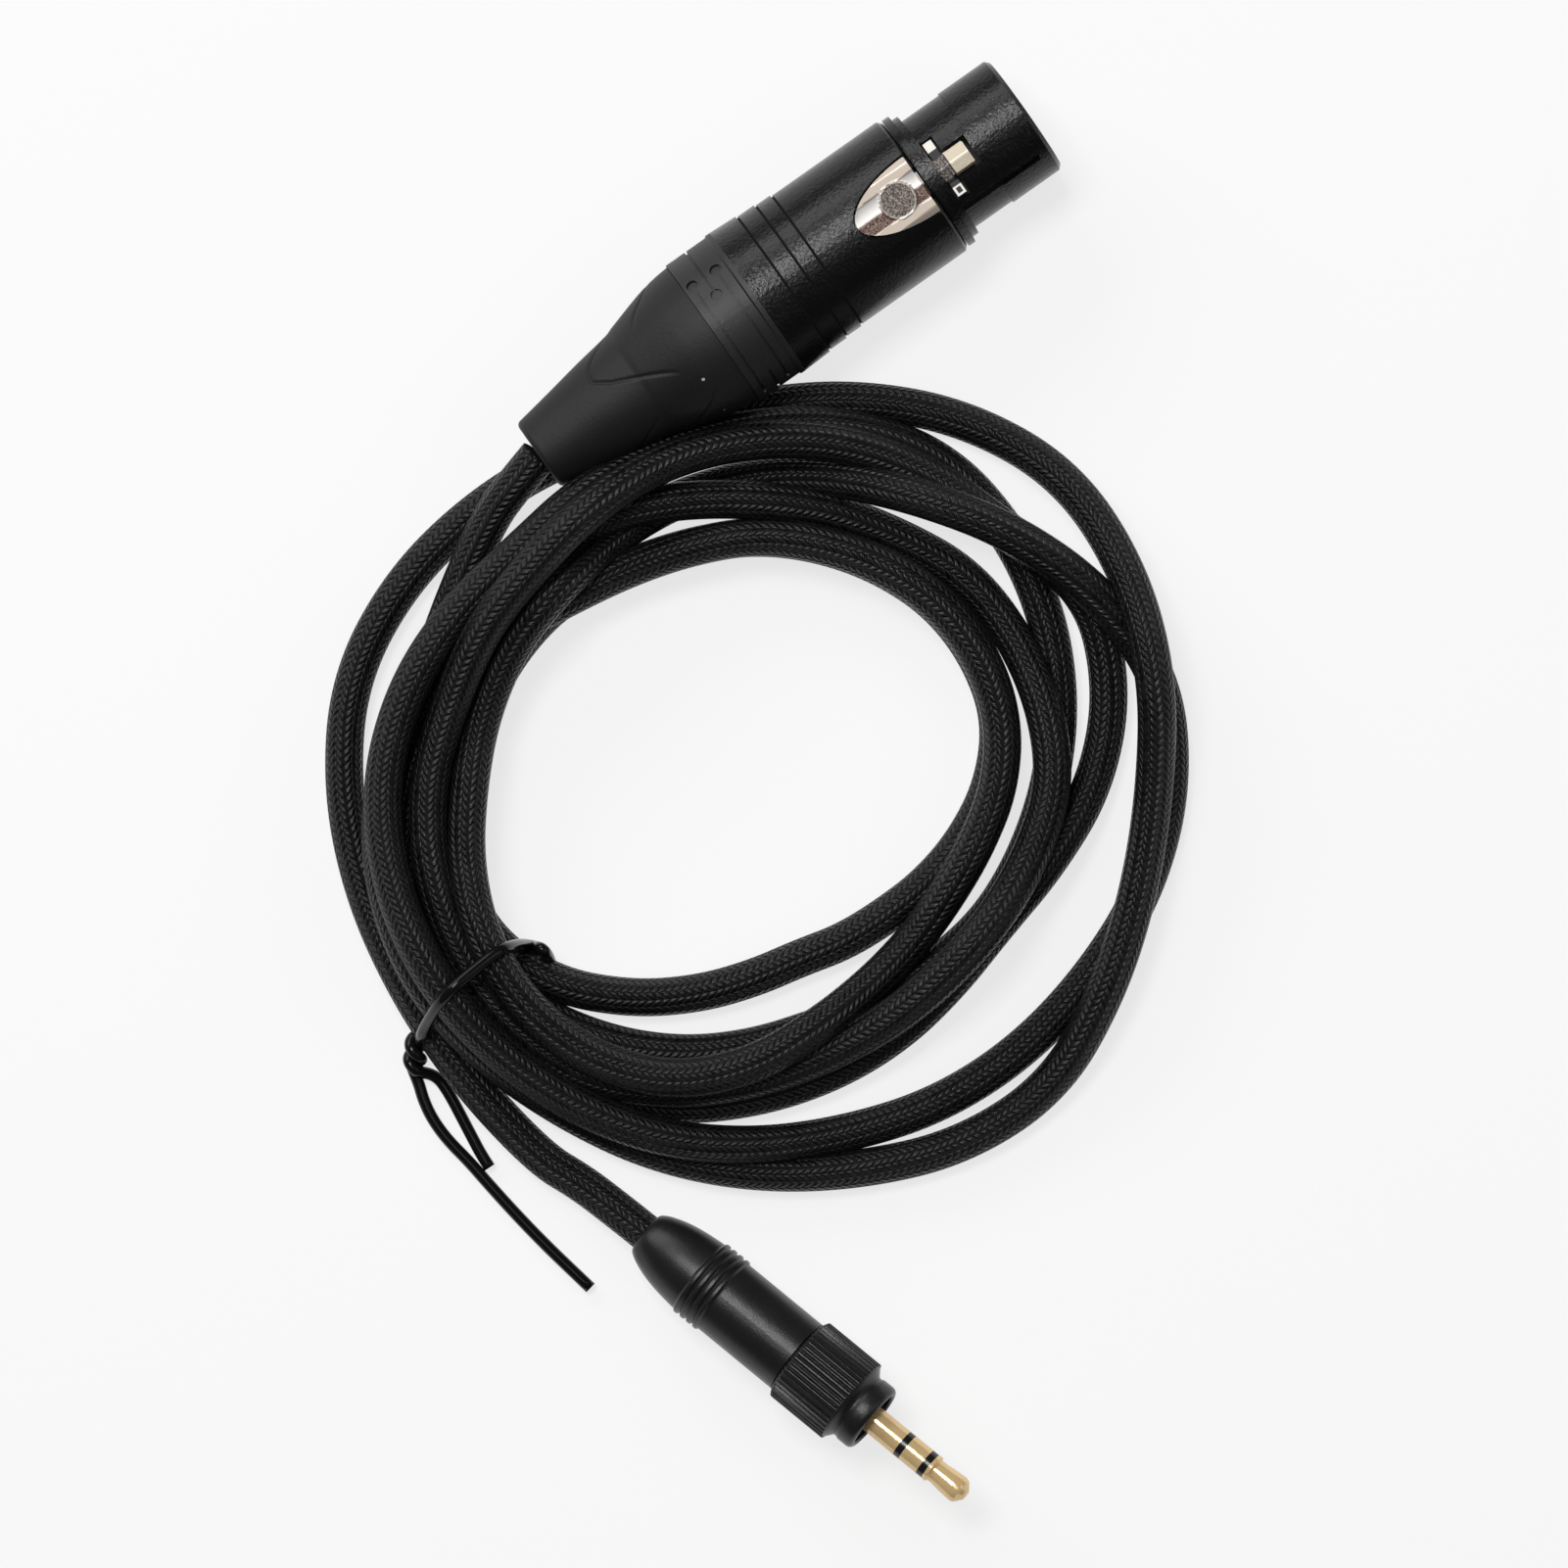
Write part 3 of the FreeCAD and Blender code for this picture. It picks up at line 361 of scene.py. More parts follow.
# Radii of each turn in mm, column by column, each read off the photograph
coilTurns = [
    [45.2, 42.4, 41.7, 39.8, 37.6, 37.3, 34.0, 29.7, 26.0, 23.2, 21.5, 21.7,
     22.3, 24.0, 26.2, 28.8, 30.9, 31.3, 31.3, 30.7, 30.3, 30.2, 30.0, 30.5],
    [32.6, 33.6, 34.5, 36.3, 39.6, 41.2, 38.3, 35.9, 33.7, 31.6, 30.1, 30.5,
     31.0, 32.6, 33.9, 35.8, 38.3, 41.0, 43.6, 45.7, 45.1, 43.4, 42.0, 40.8],
    [39.8, 41.5, 43.5, 44.9, 45.2, 45.0, 44.5, 44.1, 44.0, 43.5, 43.5, 44.5,
     45.5, 46.8, 49.0, 50.6, 51.1, 47.4, 43.4, 40.1, 38.5, 37.3, 36.0, 34.5],
    [33.6, 33.8, 33.9, 34.3, 36.0, 37.6, 38.4, 38.2, 36.8, 33.6, 30.0, 27.9,
     26.9, 26.7, 27.7, 29.6, 31.1, 31.6, 31.5, 30.8, 30.3, 30.2, 29.8, 30.3],
    [32.0, 36.0, 38.4, 41.2, 43.5, 44.9, 42.4, 41.2, 40.1, 37.8, 36.0, 34.6,
     33.5, 33.6, 36.6, 41.2, 44.9, 46.9, 43.2, 43.1, 42.8, 41.8, 40.6, 38.9],
    [37.4, 37.7, 37.8, 39.3, 40.3, 40.9, 41.0, 40.4, 38.0, 35.4, 33.5, 32.6,
     32.3, 33.0, 34.4, 36.3, 36.4, 36.3, 36.2, 34.8, 34.5, 34.5, 35.6, 37.6],
    [38.8, 39.9, 42.1, 45.0, 46.3, 46.6, 45.9, 45.4, 46.0, 46.8, 48.1, 50.3,
     51.3, 49.3, 48.1, 48.3, 50.2, 52.1, 53.2, 51.3, 48.5, 45.9, 44.6, 46.0],
    [47.4, 49.2, 50.5, 49.8, 49.0, 48.6, 49.5, 51.8],
]
# Which turn lies on which, lowest first, column by column
stackingOrder = [
    "71640235", "70146235", "70146235", "70146253", "01476532", "01476532",
    "01476532", "01467532", "0146532", "0146532", "0146532", "0146532",
    "0142653", "0142653", "0142653", "0142653", "0142653", "0142653",
    "0614253", "0614253", "0614253", "0614253", "0326145", "6032514",
]
leadInPoints = [(-36.0, 0.0, 10.15), (-40.2, -1.1, 9.4)]
leadInHeights = {0: 7.0, 1: 4.0}  # the first turn comes down from the boot
tailPoints = [(-82.6, -75.2, 2.6), (-80.9, -80.6, 3.2), (-79.7, -84.6, 3.9), (-79.45, -85.5, 4.05)]


def restHeights(turns, orders, s, heldUp):
    # Each strand rests on those that its column's order puts below it
    radii = [value for turn in turns for value in turn]
    columns, count = len(orders), len(radii)
    lifts = [s["tieLift"] if i % columns in s["tieColumns"] else 0 for i in range(count)]
    heights = [s["floorHeight"] + lift for lift in lifts]
    for index, value in heldUp.items():
        heights[index] = value
    pairs = []
    for column, order in enumerate(orders):
        present = [int(mark) * columns + column for mark in order]
        present = [index for index in present if index < count]
        pairs += [(low, high) for i, low in enumerate(present) for high in present[i + 1:]]
    lowerFirst = set(pairs)

    def halfway(values, index):
        return (values[index] + values[index + 1]) / 2

    def atPoint(values, index):
        beside = values[max(index - 1, 0)] + values[min(index + 1, count - 1)]
        return s["ownWeight"] * values[index] + s["nextWeight"] * beside

    def shortfall(read, low, high):
        gap = abs(read(radii, low) - read(radii, high)) / s["pressedAcross"]
        if gap >= 1:
            return 0
        return read(heights, low) + s["pressedUp"] * math.sqrt(1 - gap * gap) - read(heights, high)

    for settling in range(s["settleRounds"]):
        for low, high in pairs:
            heights[high] += s["settleShare"] * max(shortfall(atPoint, low, high), 0)
            if max(low, high) + 1 < count:
                nearer = abs(radii[low + 1] - radii[high + 1]) < abs(radii[low] - radii[high])
                if (high + 1, low + 1) in lowerFirst and nearer:
                    low, high = high, low
                lift = s["settleShare"] * max(shortfall(halfway, low, high), 0)
                heights[high] += lift
                heights[high + 1] += lift
        for index in range(1, count - 1):
            lowest = (heights[index - 1] + heights[index + 1]) / 2 - s["longestDip"]
            heights[index] = max(heights[index], lowest)
    return heights


def cordRoute():
    s = cordSizes
    heights = restHeights(coilTurns, stackingOrder, s, leadInHeights)
    route = [Vector(point) * mm for point in leadInPoints]
    radii = [value for turn in coilTurns for value in turn]
    for index, (radius, height) in enumerate(zip(radii, heights)):
        angle = math.radians(s["firstAngle"] + s["columnStep"] * index)
        reach = radius * s["tightening"] * mm
        route.append(Vector((
            s["middle"][0] + reach * math.cos(angle), s["middle"][1] + reach * math.sin(angle), height * mm,
        )))
    return route + [Vector(point) * mm for point in tailPoints]


def splinePoints(points, perSpan):
    curve = bpy.data.curves.new("routeSpline", "CURVE")
    curve.dimensions = "3D"
    spline = curve.splines.new("NURBS")
    spline.points.add(len(points) - 1)
    for slot, point in zip(spline.points, points):
        slot.co = (*point, 1)
    spline.order_u = 3
    spline.use_endpoint_u = True
    spline.resolution_u = perSpan
    holder = bpy.data.objects.new("routeSpline", curve)
    mesh = bpy.data.meshes.new_from_object(holder)
    found = [vertex.co.copy() for vertex in mesh.vertices]
    bpy.data.objects.remove(holder)
    bpy.data.curves.remove(curve)
    bpy.data.meshes.remove(mesh)
    return found


def addPiece(name, mesh):
    data = bpy.data.meshes.new(name)
    mesh.to_mesh(data)
    mesh.free()
    made = bpy.data.objects.new(name, data)
    bpy.context.scene.collection.objects.link(made)
    return made


def makeTube(name, points, radius, sides):
    # A tube round the points, with metres along in u and turns around in v
    tangents = [
        (after - before).normalized()
        for before, after in zip(points[:1] + points[:-1], points[1:] + points[-1:])
    ]
    normal = tangents[0].orthogonal().normalized()
    along, mesh = 0.0, bmesh.new()
    rings, lengths = [], []
    for i, (point, tangent) in enumerate(zip(points, tangents)):
        if i:
            normal = tangents[i - 1].rotation_difference(tangent) @ normal
            along += (point - points[i - 1]).length
        normal = (normal - tangent * normal.dot(tangent)).normalized()
        other = tangent.cross(normal)
        rings.append([
            mesh.verts.new(point + radius * (normal * math.cos(a) + other * math.sin(a)))
            for a in (2 * math.pi * k / sides for k in range(sides))
        ])
        lengths.append(along)
    layer = mesh.loops.layers.uv.new("alongAround")
    for first, second, start, end in zip(rings, rings[1:], lengths, lengths[1:]):
        for k in range(sides):
            n = (k + 1) % sides
            face = mesh.faces.new((first[k], first[n], second[n], second[k]))
            face.smooth = True
            low, high = k / sides, (k + 1) / sides
            for loop, uv in zip(face.loops, ((start, low), (start, high), (end, high), (end, low))):
                loop[layer].uv = uv
    for ring, centre, flip in ((rings[0], points[0], True), (rings[-1], points[-1], False)):
        hub = mesh.verts.new(centre)
        for k in range(sides):
            n = (k + 1) % sides
            mesh.faces.new((ring[n], ring[k], hub) if flip else (ring[k], ring[n], hub))
    return addPiece(name, mesh)


braidSizes = {
    "pitch": 0.00095,
    "slant": 0.85,
    "twist": 1.5,
    "gap": (0.12, 0.6),  # the bead's height where the gap ends and where the yarn is full
    "relief": 0.00018,
    "gloss": 0.36,
    # painted shade in the gaps between the beads
    "gapShadeTone": 0.0005,
    "yarnTones": (0.002, 0.010),  # the darkest and the palest bead
    "roughness": (0.8, 0.27),  # in the gap and on the yarn
}


def makeBraidMaterial(s):
    material, tree, shader, place = startMaterial("wovenSleeve", Specular_IOR_Level=s["gloss"])
    across = addNode(tree, "ShaderNodeUVMap", uv_map="alongAround")
    parts = addNode(tree, "ShaderNodeSeparateXYZ")
    feed(tree, parts.inputs[0], across.outputs[0])
    weave = placeGroup(
        tree, braidWeave, Along=parts.outputs[0], Around=parts.outputs[1],
        Pitch=s["pitch"], Slant=s["slant"], Twist=s["twist"],
    )
    bead = smoothStep(tree, weave["Bead"], *s["gap"])
    yarn = between(tree, weave["Tone"], *map(grey, s["yarnTones"]))
    # the gaps between the beads get painted shade
    feed(tree, shader.inputs["Base Color"], between(tree, bead, grey(s["gapShadeTone"]), yarn))
    feed(tree, shader.inputs["Roughness"], scaled(tree, bead, *s["roughness"]))
    bumped(tree, shader, weave["Height"], s["relief"])
    return material


routePoints = cordRoute()
cordLine = splinePoints(routePoints, cordSizes["pointsPerSpan"])
cordLength = sum((b - a).length for a, b in zip(cordLine, cordLine[1:]))
micCord = makeTube("micCord", cordLine, cordSizes["radius"], cordSizes["sides"])
wovenSleeve = makeBraidMaterial(braidSizes)
micCord.data.materials.append(wovenSleeve)
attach(micCord, "root")
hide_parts("cord_from_boot", "cord_coil", "cord_to_plug")


# The wire tie round the bundle
tieSizes = {
    "radius": 0.00075,
    "sides": 12,
    "clear": 0.00095,  # the wire's middle above what it lies on
    "tailOne": [(500, 1192), (492, 1180), (482, 1161), (471, 1140), (459, 1117), (446, 1098)],
    "knotFoot": (423, 1091, 0.0018),  # pixel, pixel, height
    "knotTop": (426, 1061, 0.0034),
    "knotTurns": 1.0,
    "knotReach": 0.00078,
    "knotSteps": 20,
    "knotPhases": (60, 240),  # degrees, for the wire's two ends
    "firstHeight": 0.012,  # guess of the bundle's height, made better in a few aims
    "aims": 3,
    "above": 0.05,
    "pointsPerSpan": 6,
    "overBundle": [(431, 1056), (436, 1045), (443, 1033), (451, 1021), (461, 1009.5),
                   (475, 997.5), (489, 986), (500, 977), (512, 969.5), (520, 966.5),
                   (528, 964.5), (536, 964.5), (545, 966)],
    "innerSide": [(553, 968, 0.0085), (560, 976, 0.0050), (562, 984, 0.0022)],
    "underBundle": [(556, 992), (530, 1006), (500, 1020), (465, 1038), (440, 1050)],
    "tailTwo": [(428, 1107), (432, 1122), (441, 1142), (457, 1164), (479, 1186), (498, 1208), (527, 1240),
                (557, 1271), (583, 1296), (603, 1315)],
}


def tautOver(crests):
    # Pulled wire runs straight from crest to crest
    places = [0.0]
    for a, b in zip(crests, crests[1:]):
        places.append(places[-1] + (b.xy - a.xy).length)
    pulled = []
    for i, point in enumerate(crests):
        height = point.z
        for a in range(i):
            for b in range(i + 1, len(crests)):
                share = (places[i] - places[a]) / (places[b] - places[a])
                height = max(height, crests[a].z + share * (crests[b].z - crests[a].z))
        pulled.append(height)
    ends = [pulled[0]] + pulled + [pulled[-1]]
    eased = [(a + 2 * b + c) / 4 for a, b, c in zip(ends, ends[1:], ends[2:])]
    return [Vector((point.x, point.y, height)) for point, height in zip(crests, eased)]


def makeWireTie():
    s = tieSizes
    cordTree = BVHTree.FromObject(micCord, bpy.context.evaluated_depsgraph_get())
    crests = []
    for across, down in s["overBundle"]:
        height = s["firstHeight"]
        for aim in range(s["aims"]):
            place = atPixel(across, down, height)
            hit = cordTree.ray_cast(Vector((place.x, place.y, s["above"])), Vector((0, 0, -1)))[0]
            height = (hit.z if hit else 0) + s["clear"]
        crests.append(Vector((place.x, place.y, height)))
    foot, top = atPixel(*s["knotFoot"]), atPixel(*s["knotTop"])
    axis = (top - foot).normalized()
    side = axis.cross(Vector((0, 0, 1))).normalized()
    lift = side.cross(axis)

    def twist(phase):
        wound = []
        for k in range(s["knotSteps"] + 1):
            share = k / s["knotSteps"]
            angle = math.radians(phase) + 2 * math.pi * s["knotTurns"] * share
            reach = s["knotReach"] * (side * math.cos(angle) + lift * math.sin(angle))
            wound.append(foot.lerp(top, share) + reach)
        return wound

    def flat(pixels):
        return [atPixel(across, down, s["clear"]) for across, down in pixels]

    first, second = s["knotPhases"]
    route = flat(s["tailOne"]) + twist(first) + tautOver(crests)
    route += [atPixel(*point) for point in s["innerSide"]] + flat(s["underBundle"])
    route += list(reversed(twist(second))) + flat(s["tailTwo"])
    return makeTube("wireTie", splinePoints(route, s["pointsPerSpan"]), s["radius"], s["sides"])


wireTie = makeWireTie()
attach(wireTie, "root")
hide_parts("wire_tie")
print("tie wound,", len(wireTie.data.polygons), "faces")


# The soft boot with its moulded contour lines
bootSizes = {
    "back": -0.036,
    "axisHeight": 0.01015,
    "outline": [(0.0, 4.66), (5.0, 5.5), (10.0, 6.4), (15.0, 7.2), (16.0, 7.54), (18.0, 8.14), (20.0, 8.72),
                (22.0, 9.22), (24.0, 9.54), (25.8, 9.7)],  # mm from the mouth, radius in mm
    "mouthRounding": 0.6,
    "mouthSteps": 6,
    "inside": [(25.8, 8.35), (13.0, 4.93), (12.98, 2.4), (0.3, 2.4)],
    "rows": 180,
    "columns": 300,
    "grooveDepth": 0.2,
    "grooveHalf": 0.34,
    "grooveRound": 1.5,
    "fade": 4.0,  # mm over which a line's ends run out
    "fadeRound": 0.5,
    "meanRadius": 8,
    "repeats": (0, 120, 240),
    # Contour lines: mm from the mouth, degrees from the top towards the coil
    "lines": [
        [(14.85, -80), (12.45, -62.6), (11.26, -52.6), (10.63, -44), (10.32, -32.9), (10.58, -28.9),
         (12.2, -17.1), (15.1, -5.3), (18.1, 5.9), (19.74, 12.3)],
        [(22.46, 28.4), (22.57, 33.5), (22.2, 40.9), (20.94, 51.7), (19.12, 63), (17.26, 83)],
    ],
}


def outlineRadius(s, station):
    # Smooth through the outline's points
    points = s["outline"]
    last = len(points) - 2
    i = min(max(sum(1 for p in points if p[0] <= station) - 1, 0), last)
    (s0, r0), (s1, r1) = points[i], points[i + 1]

    def slope(k):
        a, b = points[max(k - 1, 0)], points[min(k + 1, len(points) - 1)]
        return (b[1] - a[1]) / (b[0] - a[0])

    t, span = (station - s0) / (s1 - s0), s1 - s0
    radius = (2 * t**3 - 3 * t**2 + 1) * r0 + (t**3 - 2 * t**2 + t) * span * slope(i)
    radius += (-2 * t**3 + 3 * t**2) * r1 + (t**3 - t**2) * span * slope(i + 1)
    if station < s["mouthRounding"]:
        inset = s["mouthRounding"] - station
        radius -= s["mouthRounding"] - math.sqrt(max(s["mouthRounding"] ** 2 - inset * inset, 0))
    return radius


def grooveDepths(s, stations, radii):
    along = np.array(stations)[:, None]
    reach = np.array(radii)[:, None]
    around = np.linspace(0, 2 * np.pi, s["columns"], endpoint=False)[None, :]
    depth = np.zeros((len(stations), s["columns"]))
    for line in s["lines"]:
        spans = [
            math.hypot(b[0] - a[0], math.radians(b[1] - a[1]) * s["meanRadius"])
            for a, b in zip(line, line[1:])
        ]
        total = sum(spans)
        for repeat in s["repeats"]:
            passed = 0.0
            for a, b, span in zip(line, line[1:], spans):
                turn = np.angle(np.exp(1j * (around - math.radians(a[1] + repeat))))
                stepTurn = math.radians(b[1] - a[1])
                dx, dy = along - a[0], turn * reach
                ex, ey = b[0] - a[0], stepTurn * reach
                t = np.clip((dx * ex + dy * ey) / (ex * ex + ey * ey), 0, 1)
                apart = np.hypot(dx - t * ex, dy - t * ey)
                run = passed + t * span
                fade = np.clip(np.minimum(run, total - run) / s["fade"], 0, 1) ** s["fadeRound"]
                cut = fade * np.clip(1 - (apart / s["grooveHalf"]) ** 2, 0, 1) ** s["grooveRound"]
                depth = np.maximum(depth, cut)
                passed += span
    return depth * s["grooveDepth"]


def joinLoops(mesh, loops):
    # Faces between each ring of points and the next, and the last and the first
    for first, second in zip(loops, loops[1:] + loops[:1]):
        for k in range(len(first)):
            n = (k + 1) % len(first)
            mesh.faces.new((first[k], second[k], second[n], first[n]))


def makeSoftBoot(s):
    mouth, steps, rows = s["mouthRounding"], s["mouthSteps"], s["rows"]
    stations = [mouth * (1 - math.cos(math.pi / 2 * k / steps)) for k in range(steps)]
    length = s["outline"][-1][0]
    stations += [mouth + (length - mouth) * k / rows for k in range(rows + 1)]
    radii = [outlineRadius(s, station) for station in stations]
    cuts = grooveDepths(s, stations, radii)
    rings = [
        (station, [radius - cut for cut in row])
        for station, radius, row in zip(stations, radii, cuts)
    ]
    rings += [(station, [radius] * s["columns"]) for station, radius in s["inside"]]
    mesh = bmesh.new()
    loops = []
    for station, row in rings:
        loop = []
        for k, radius in enumerate(row):
            angle = 2 * math.pi * k / s["columns"]
            aside, up = -radius * math.sin(angle) * mm, radius * math.cos(angle) * mm
            loop.append(mesh.verts.new((s["back"] + station * mm, aside, s["axisHeight"] + up)))
        loops.append(loop)
    joinLoops(mesh, loops)
    for face in mesh.faces:
        face.smooth = True
    bmesh.ops.recalc_face_normals(mesh, faces=mesh.faces)
    return addPiece("softBoot", mesh)


softBoot = makeSoftBoot(bootSizes)
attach(softBoot, "root")
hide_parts("rubber_boot")
print("boot moulded,", len(softBoot.data.polygons), "faces")


# The jack plug: turned tail cap and knurled nut, and the plug's bands
jackSizes = {
    "place": (-0.0797, -0.0846, 0.0039),
    "heading": -74.25,
    "tilt": 9.0,
    "tail": {
        "outline": [(0.0, 2.75), (0.6, 3.18), (1.5, 3.62), (3.3, 4.22), (5.4, 4.64), (7.6, 4.9),
                    (8.3, 4.95)],
        "mouthRounding": 0.25,
        "steps": 40,
        "crowding": 1.6,  # of the rows towards the mouth
        "columns": 96,
        "ridges": 4,
        "ridgeStart": 8.4,
        "ridgePitch": 1.0,
        "ridgeHeight": 0.28,
        "ridgeSwell": 0.8,  # above a half, the ridge's top is flat
        "ridgeSteps": 12,
        "inside": [
            (12.7, 4.95), (12.7, 3.85), (16.7, 3.85), (16.7, 3.35), (8.2, 3.35), (8.2, 2.42), (0.0, 2.42),
        ],
    },
    "nut": {
        # mm along, mm out, share of the rib's cut
        "outline": [(24.1, 4.21, 0), (24.1, 5.1, 0), (24.3, 5.45, 0.6), (24.45, 5.68, 1), (24.6, 5.7, 1),
                    (32.45, 5.7, 1), (32.5, 5.64, 1), (32.53, 5.38, 0), (32.65, 5.3, 0), (32.9, 4.98, 0),
                    (33.25, 4.52, 0), (33.45, 4.4, 0), (33.75, 4.4, 0), (33.95, 4.5, 0), (34.1, 4.55, 0),
                    (35.45, 4.55, 0), (35.75, 4.47, 0), (35.98, 4.28, 0), (36.1, 4.05, 0), (36.1, 3.82, 0),
                    (35.88, 3.6, 0), (32.9, 3.6, 0), (32.9, 4.21, 0)],
        "ribs": 48,
        "ribShape": (0, 0.05, 0.4, 0.9, 1, 0.9, 0.4, 0.05),
        "ribDepth": 0.3,
    },
    # Where the plug's bands end: mm along in the part, and in the photograph
    "bands": [(0, 0), (38, 38), (39.4, 40.5), (40.4, 41.4), (42.9, 44.1), (43.9, 45.0), (44.8, 45.45),
              (45.6, 45.7), (46.3, 46.4), (47.8, 49.3), (48.4, 49.8), (49.75, 50.45), (50, 50.6)],
    "tipStart": 44,
    "tipFlare": [(44.7, 1), (45.5, 1.3), (46.4, 1.3), (47.8, 1.085), (48.4, 1.07), (50, 1.0)],
    "creases": 32,
}


def readOff(table, value):
    return float(np.interp(value, [row[0] for row in table], [row[1] for row in table]))


def jackTurn(s):
    heading = Matrix.Rotation(math.radians(s["heading"]), 4, "Z")
    tilt = Matrix.Rotation(math.radians(-s["tilt"]), 4, "Y")
    return Matrix.Translation(s["place"]) @ (heading @ tilt)


def copiedMesh(node):
    mesh = bmesh.new()
    mesh.from_mesh(node.data)
    mesh.transform(node.matrix_world)
    bmesh.ops.remove_doubles(mesh, verts=mesh.verts, dist=weld)
    return mesh


def finishPiece(name, mesh, creases):
    bmesh.ops.recalc_face_normals(mesh, faces=mesh.faces)
    for face in mesh.faces:
        face.smooth = True
    made = addPiece(name, mesh)
    carried = made.data.attributes.get("custom_normal")  # the node's own, wrong for the new shape
    if carried:
        made.data.attributes.remove(carried)
    made.data.set_sharp_from_angle(angle=math.radians(creases))
    return made


def makeTurned(name, s, rings):
    # Each ring is mm along and a list of radii in mm round the jack's axis
    mesh, loops, turn = bmesh.new(), [], jackTurn(s)
    for station, radii in rings:
        step = 2 * math.pi / len(radii)
        places = [
            Vector((station, radius * math.cos(k * step), radius * math.sin(k * step))) * mm
            for k, radius in enumerate(radii)
        ]
        loops.append([mesh.verts.new(turn @ place) for place in places])
    joinLoops(mesh, loops)
    return finishPiece(name, mesh, s["creases"])


def makeTailCap(s):
    tail = s["tail"]
    end = tail["outline"][-1][0]
    stations = [end * (k / tail["steps"]) ** tail["crowding"] for k in range(tail["steps"] + 1)]
    profile = [(station, outlineRadius(tail, station)) for station in stations]
    base = profile[-1][1]
    for k in range(tail["ridges"] * tail["ridgeSteps"] + 1):
        share = k / tail["ridgeSteps"]
        swell = min(tail["ridgeSwell"] * (1 - math.cos(2 * math.pi * share)), 1)
        station = tail["ridgeStart"] + share * tail["ridgePitch"]
        profile.append((station, base + swell * tail["ridgeHeight"]))
    profile += tail["inside"]
    rings = [(station, [radius] * tail["columns"]) for station, radius in profile]
    return makeTurned("turnedTail", s, rings)


def makeKnurledNut(s):
    nut = s["nut"]
    rings = []
    for station, radius, share in nut["outline"]:
        cuts = [share * nut["ribDepth"] * part for part in nut["ribShape"]] * nut["ribs"]
        rings.append((station, [radius - cut for cut in cuts]))
    return makeTurned("knurledNut", s, rings)


def makeBand(name, node, s):
    # The part's own shape, with its bands where the photograph shows them
    turn = jackTurn(s)
    back = turn.inverted()
    mesh = copiedMesh(node)
    for vertex in mesh.verts:
        point = back @ vertex.co / mm
        onTip = node.name == "plug_tip" and point.x > s["tipStart"]
        flare = readOff(s["tipFlare"], point.x) if onTip else 1
        place = Vector((readOff(s["bands"], point.x), point.y * flare, point.z * flare))
        vertex.co = turn @ (place * mm)
    return finishPiece(name, mesh, s["creases"])


turnedTail = makeTailCap(jackSizes)
knurledNut = makeKnurledNut(jackSizes)
jackPieces = {
    "jack_tail_cap": (turnedTail, "root", "jack_black"),
    "locking_nut": (knurledNut, "nut", "jack_black"),
}
for nodeName, pieceName, slotName in (
    ("plug_sleeve", "sleeveBand", "contact_gold"), ("plug_rear_insulator", "rearRing", "plug_insulator"),
    ("plug_ring", "ringBand", "contact_gold"), ("plug_front_insulator", "frontRing", "plug_insulator"),
    ("plug_tip", "tipBand", "contact_gold"),
):
    jackPieces[nodeName] = (makeBand(pieceName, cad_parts[nodeName], jackSizes), "root", slotName)
for nodeName, (piece, body, slotName) in jackPieces.items():
    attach(piece, body)
    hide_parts(nodeName)
turnedFaces = sum(len(piece.data.polygons) for piece, body, slotName in jackPieces.values())
print("jack turned,", turnedFaces, "faces")


# The push latch: plate with a trough and a dimple, arms and hook
latchSizes = {
    "plate": (11.1, 20.7),  # mm along the socket
    "grid": 0.24,
    "halfWidth": 3.9,
    "topFrom": 0.0175,  # faces higher than this belong to the plate's top
    "crown": ((0, 19.65), (2.3, 19.37), (3.2, 19.12), (3.95, 18.79)),  # mm aside, mm up
    "skin": 0.6,
    "sink": 0.55,
    "troughHalf": 1.9,
    "troughDepth": 0.38,
    "dimple": (17.1, 0.0),
    "dimpleHalf": 2.1,
    "dimpleSink": 0.12,
    "rimHalf": 2.3,
    "rimLift": 0.1,
    "creases": 50,
}


def makeShapedLatch(s):
    mesh = copiedMesh(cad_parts["push_latch"])
    low, high = s["plate"]
    top = s["crown"][0][1] - s["sink"]
    cuts = ((Vector((1, 0, 0)), low, high), (Vector((0, 1, 0)), -s["halfWidth"], s["halfWidth"]))
    for axis, start, stop in cuts:
        for k in range(int((stop - start) / s["grid"]) + 1):
            place = axis * (start + k * s["grid"]) * mm
            near = [face for face in mesh.faces if face.calc_center_median().z > s["topFrom"]]
            edges = {edge for face in near for edge in face.edges}
            verts = {vertex for face in near for vertex in face.verts}
            around = near + list(edges) + list(verts)
            bmesh.ops.bisect_plane(mesh, geom=around, plane_co=place, plane_no=axis)
    for vertex in mesh.verts:
        x, y, z = vertex.co / mm
        crown = readOff(s["crown"], abs(y))
        if not low < x < high or z < crown - s["skin"]:
            continue
        inTrough = max(1 - (y / s["troughHalf"]) ** 2, 0)
        height = top - s["troughDepth"] * math.sqrt(inTrough)
        reach = math.hypot(x - s["dimple"][0], y - s["dimple"][1])
        if reach < s["dimpleHalf"]:
            height = top - s["dimpleSink"]
        elif reach < s["rimHalf"]:
            height = max(height, top + s["rimLift"])
        vertex.co.z = min(height, crown) * mm
    return finishPiece("shapedLatch", mesh, s["creases"])


shapedLatch = makeShapedLatch(latchSizes)
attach(shapedLatch, "latch")
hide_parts("push_latch")
print("latch shaped,", len(shapedLatch.data.polygons), "faces")
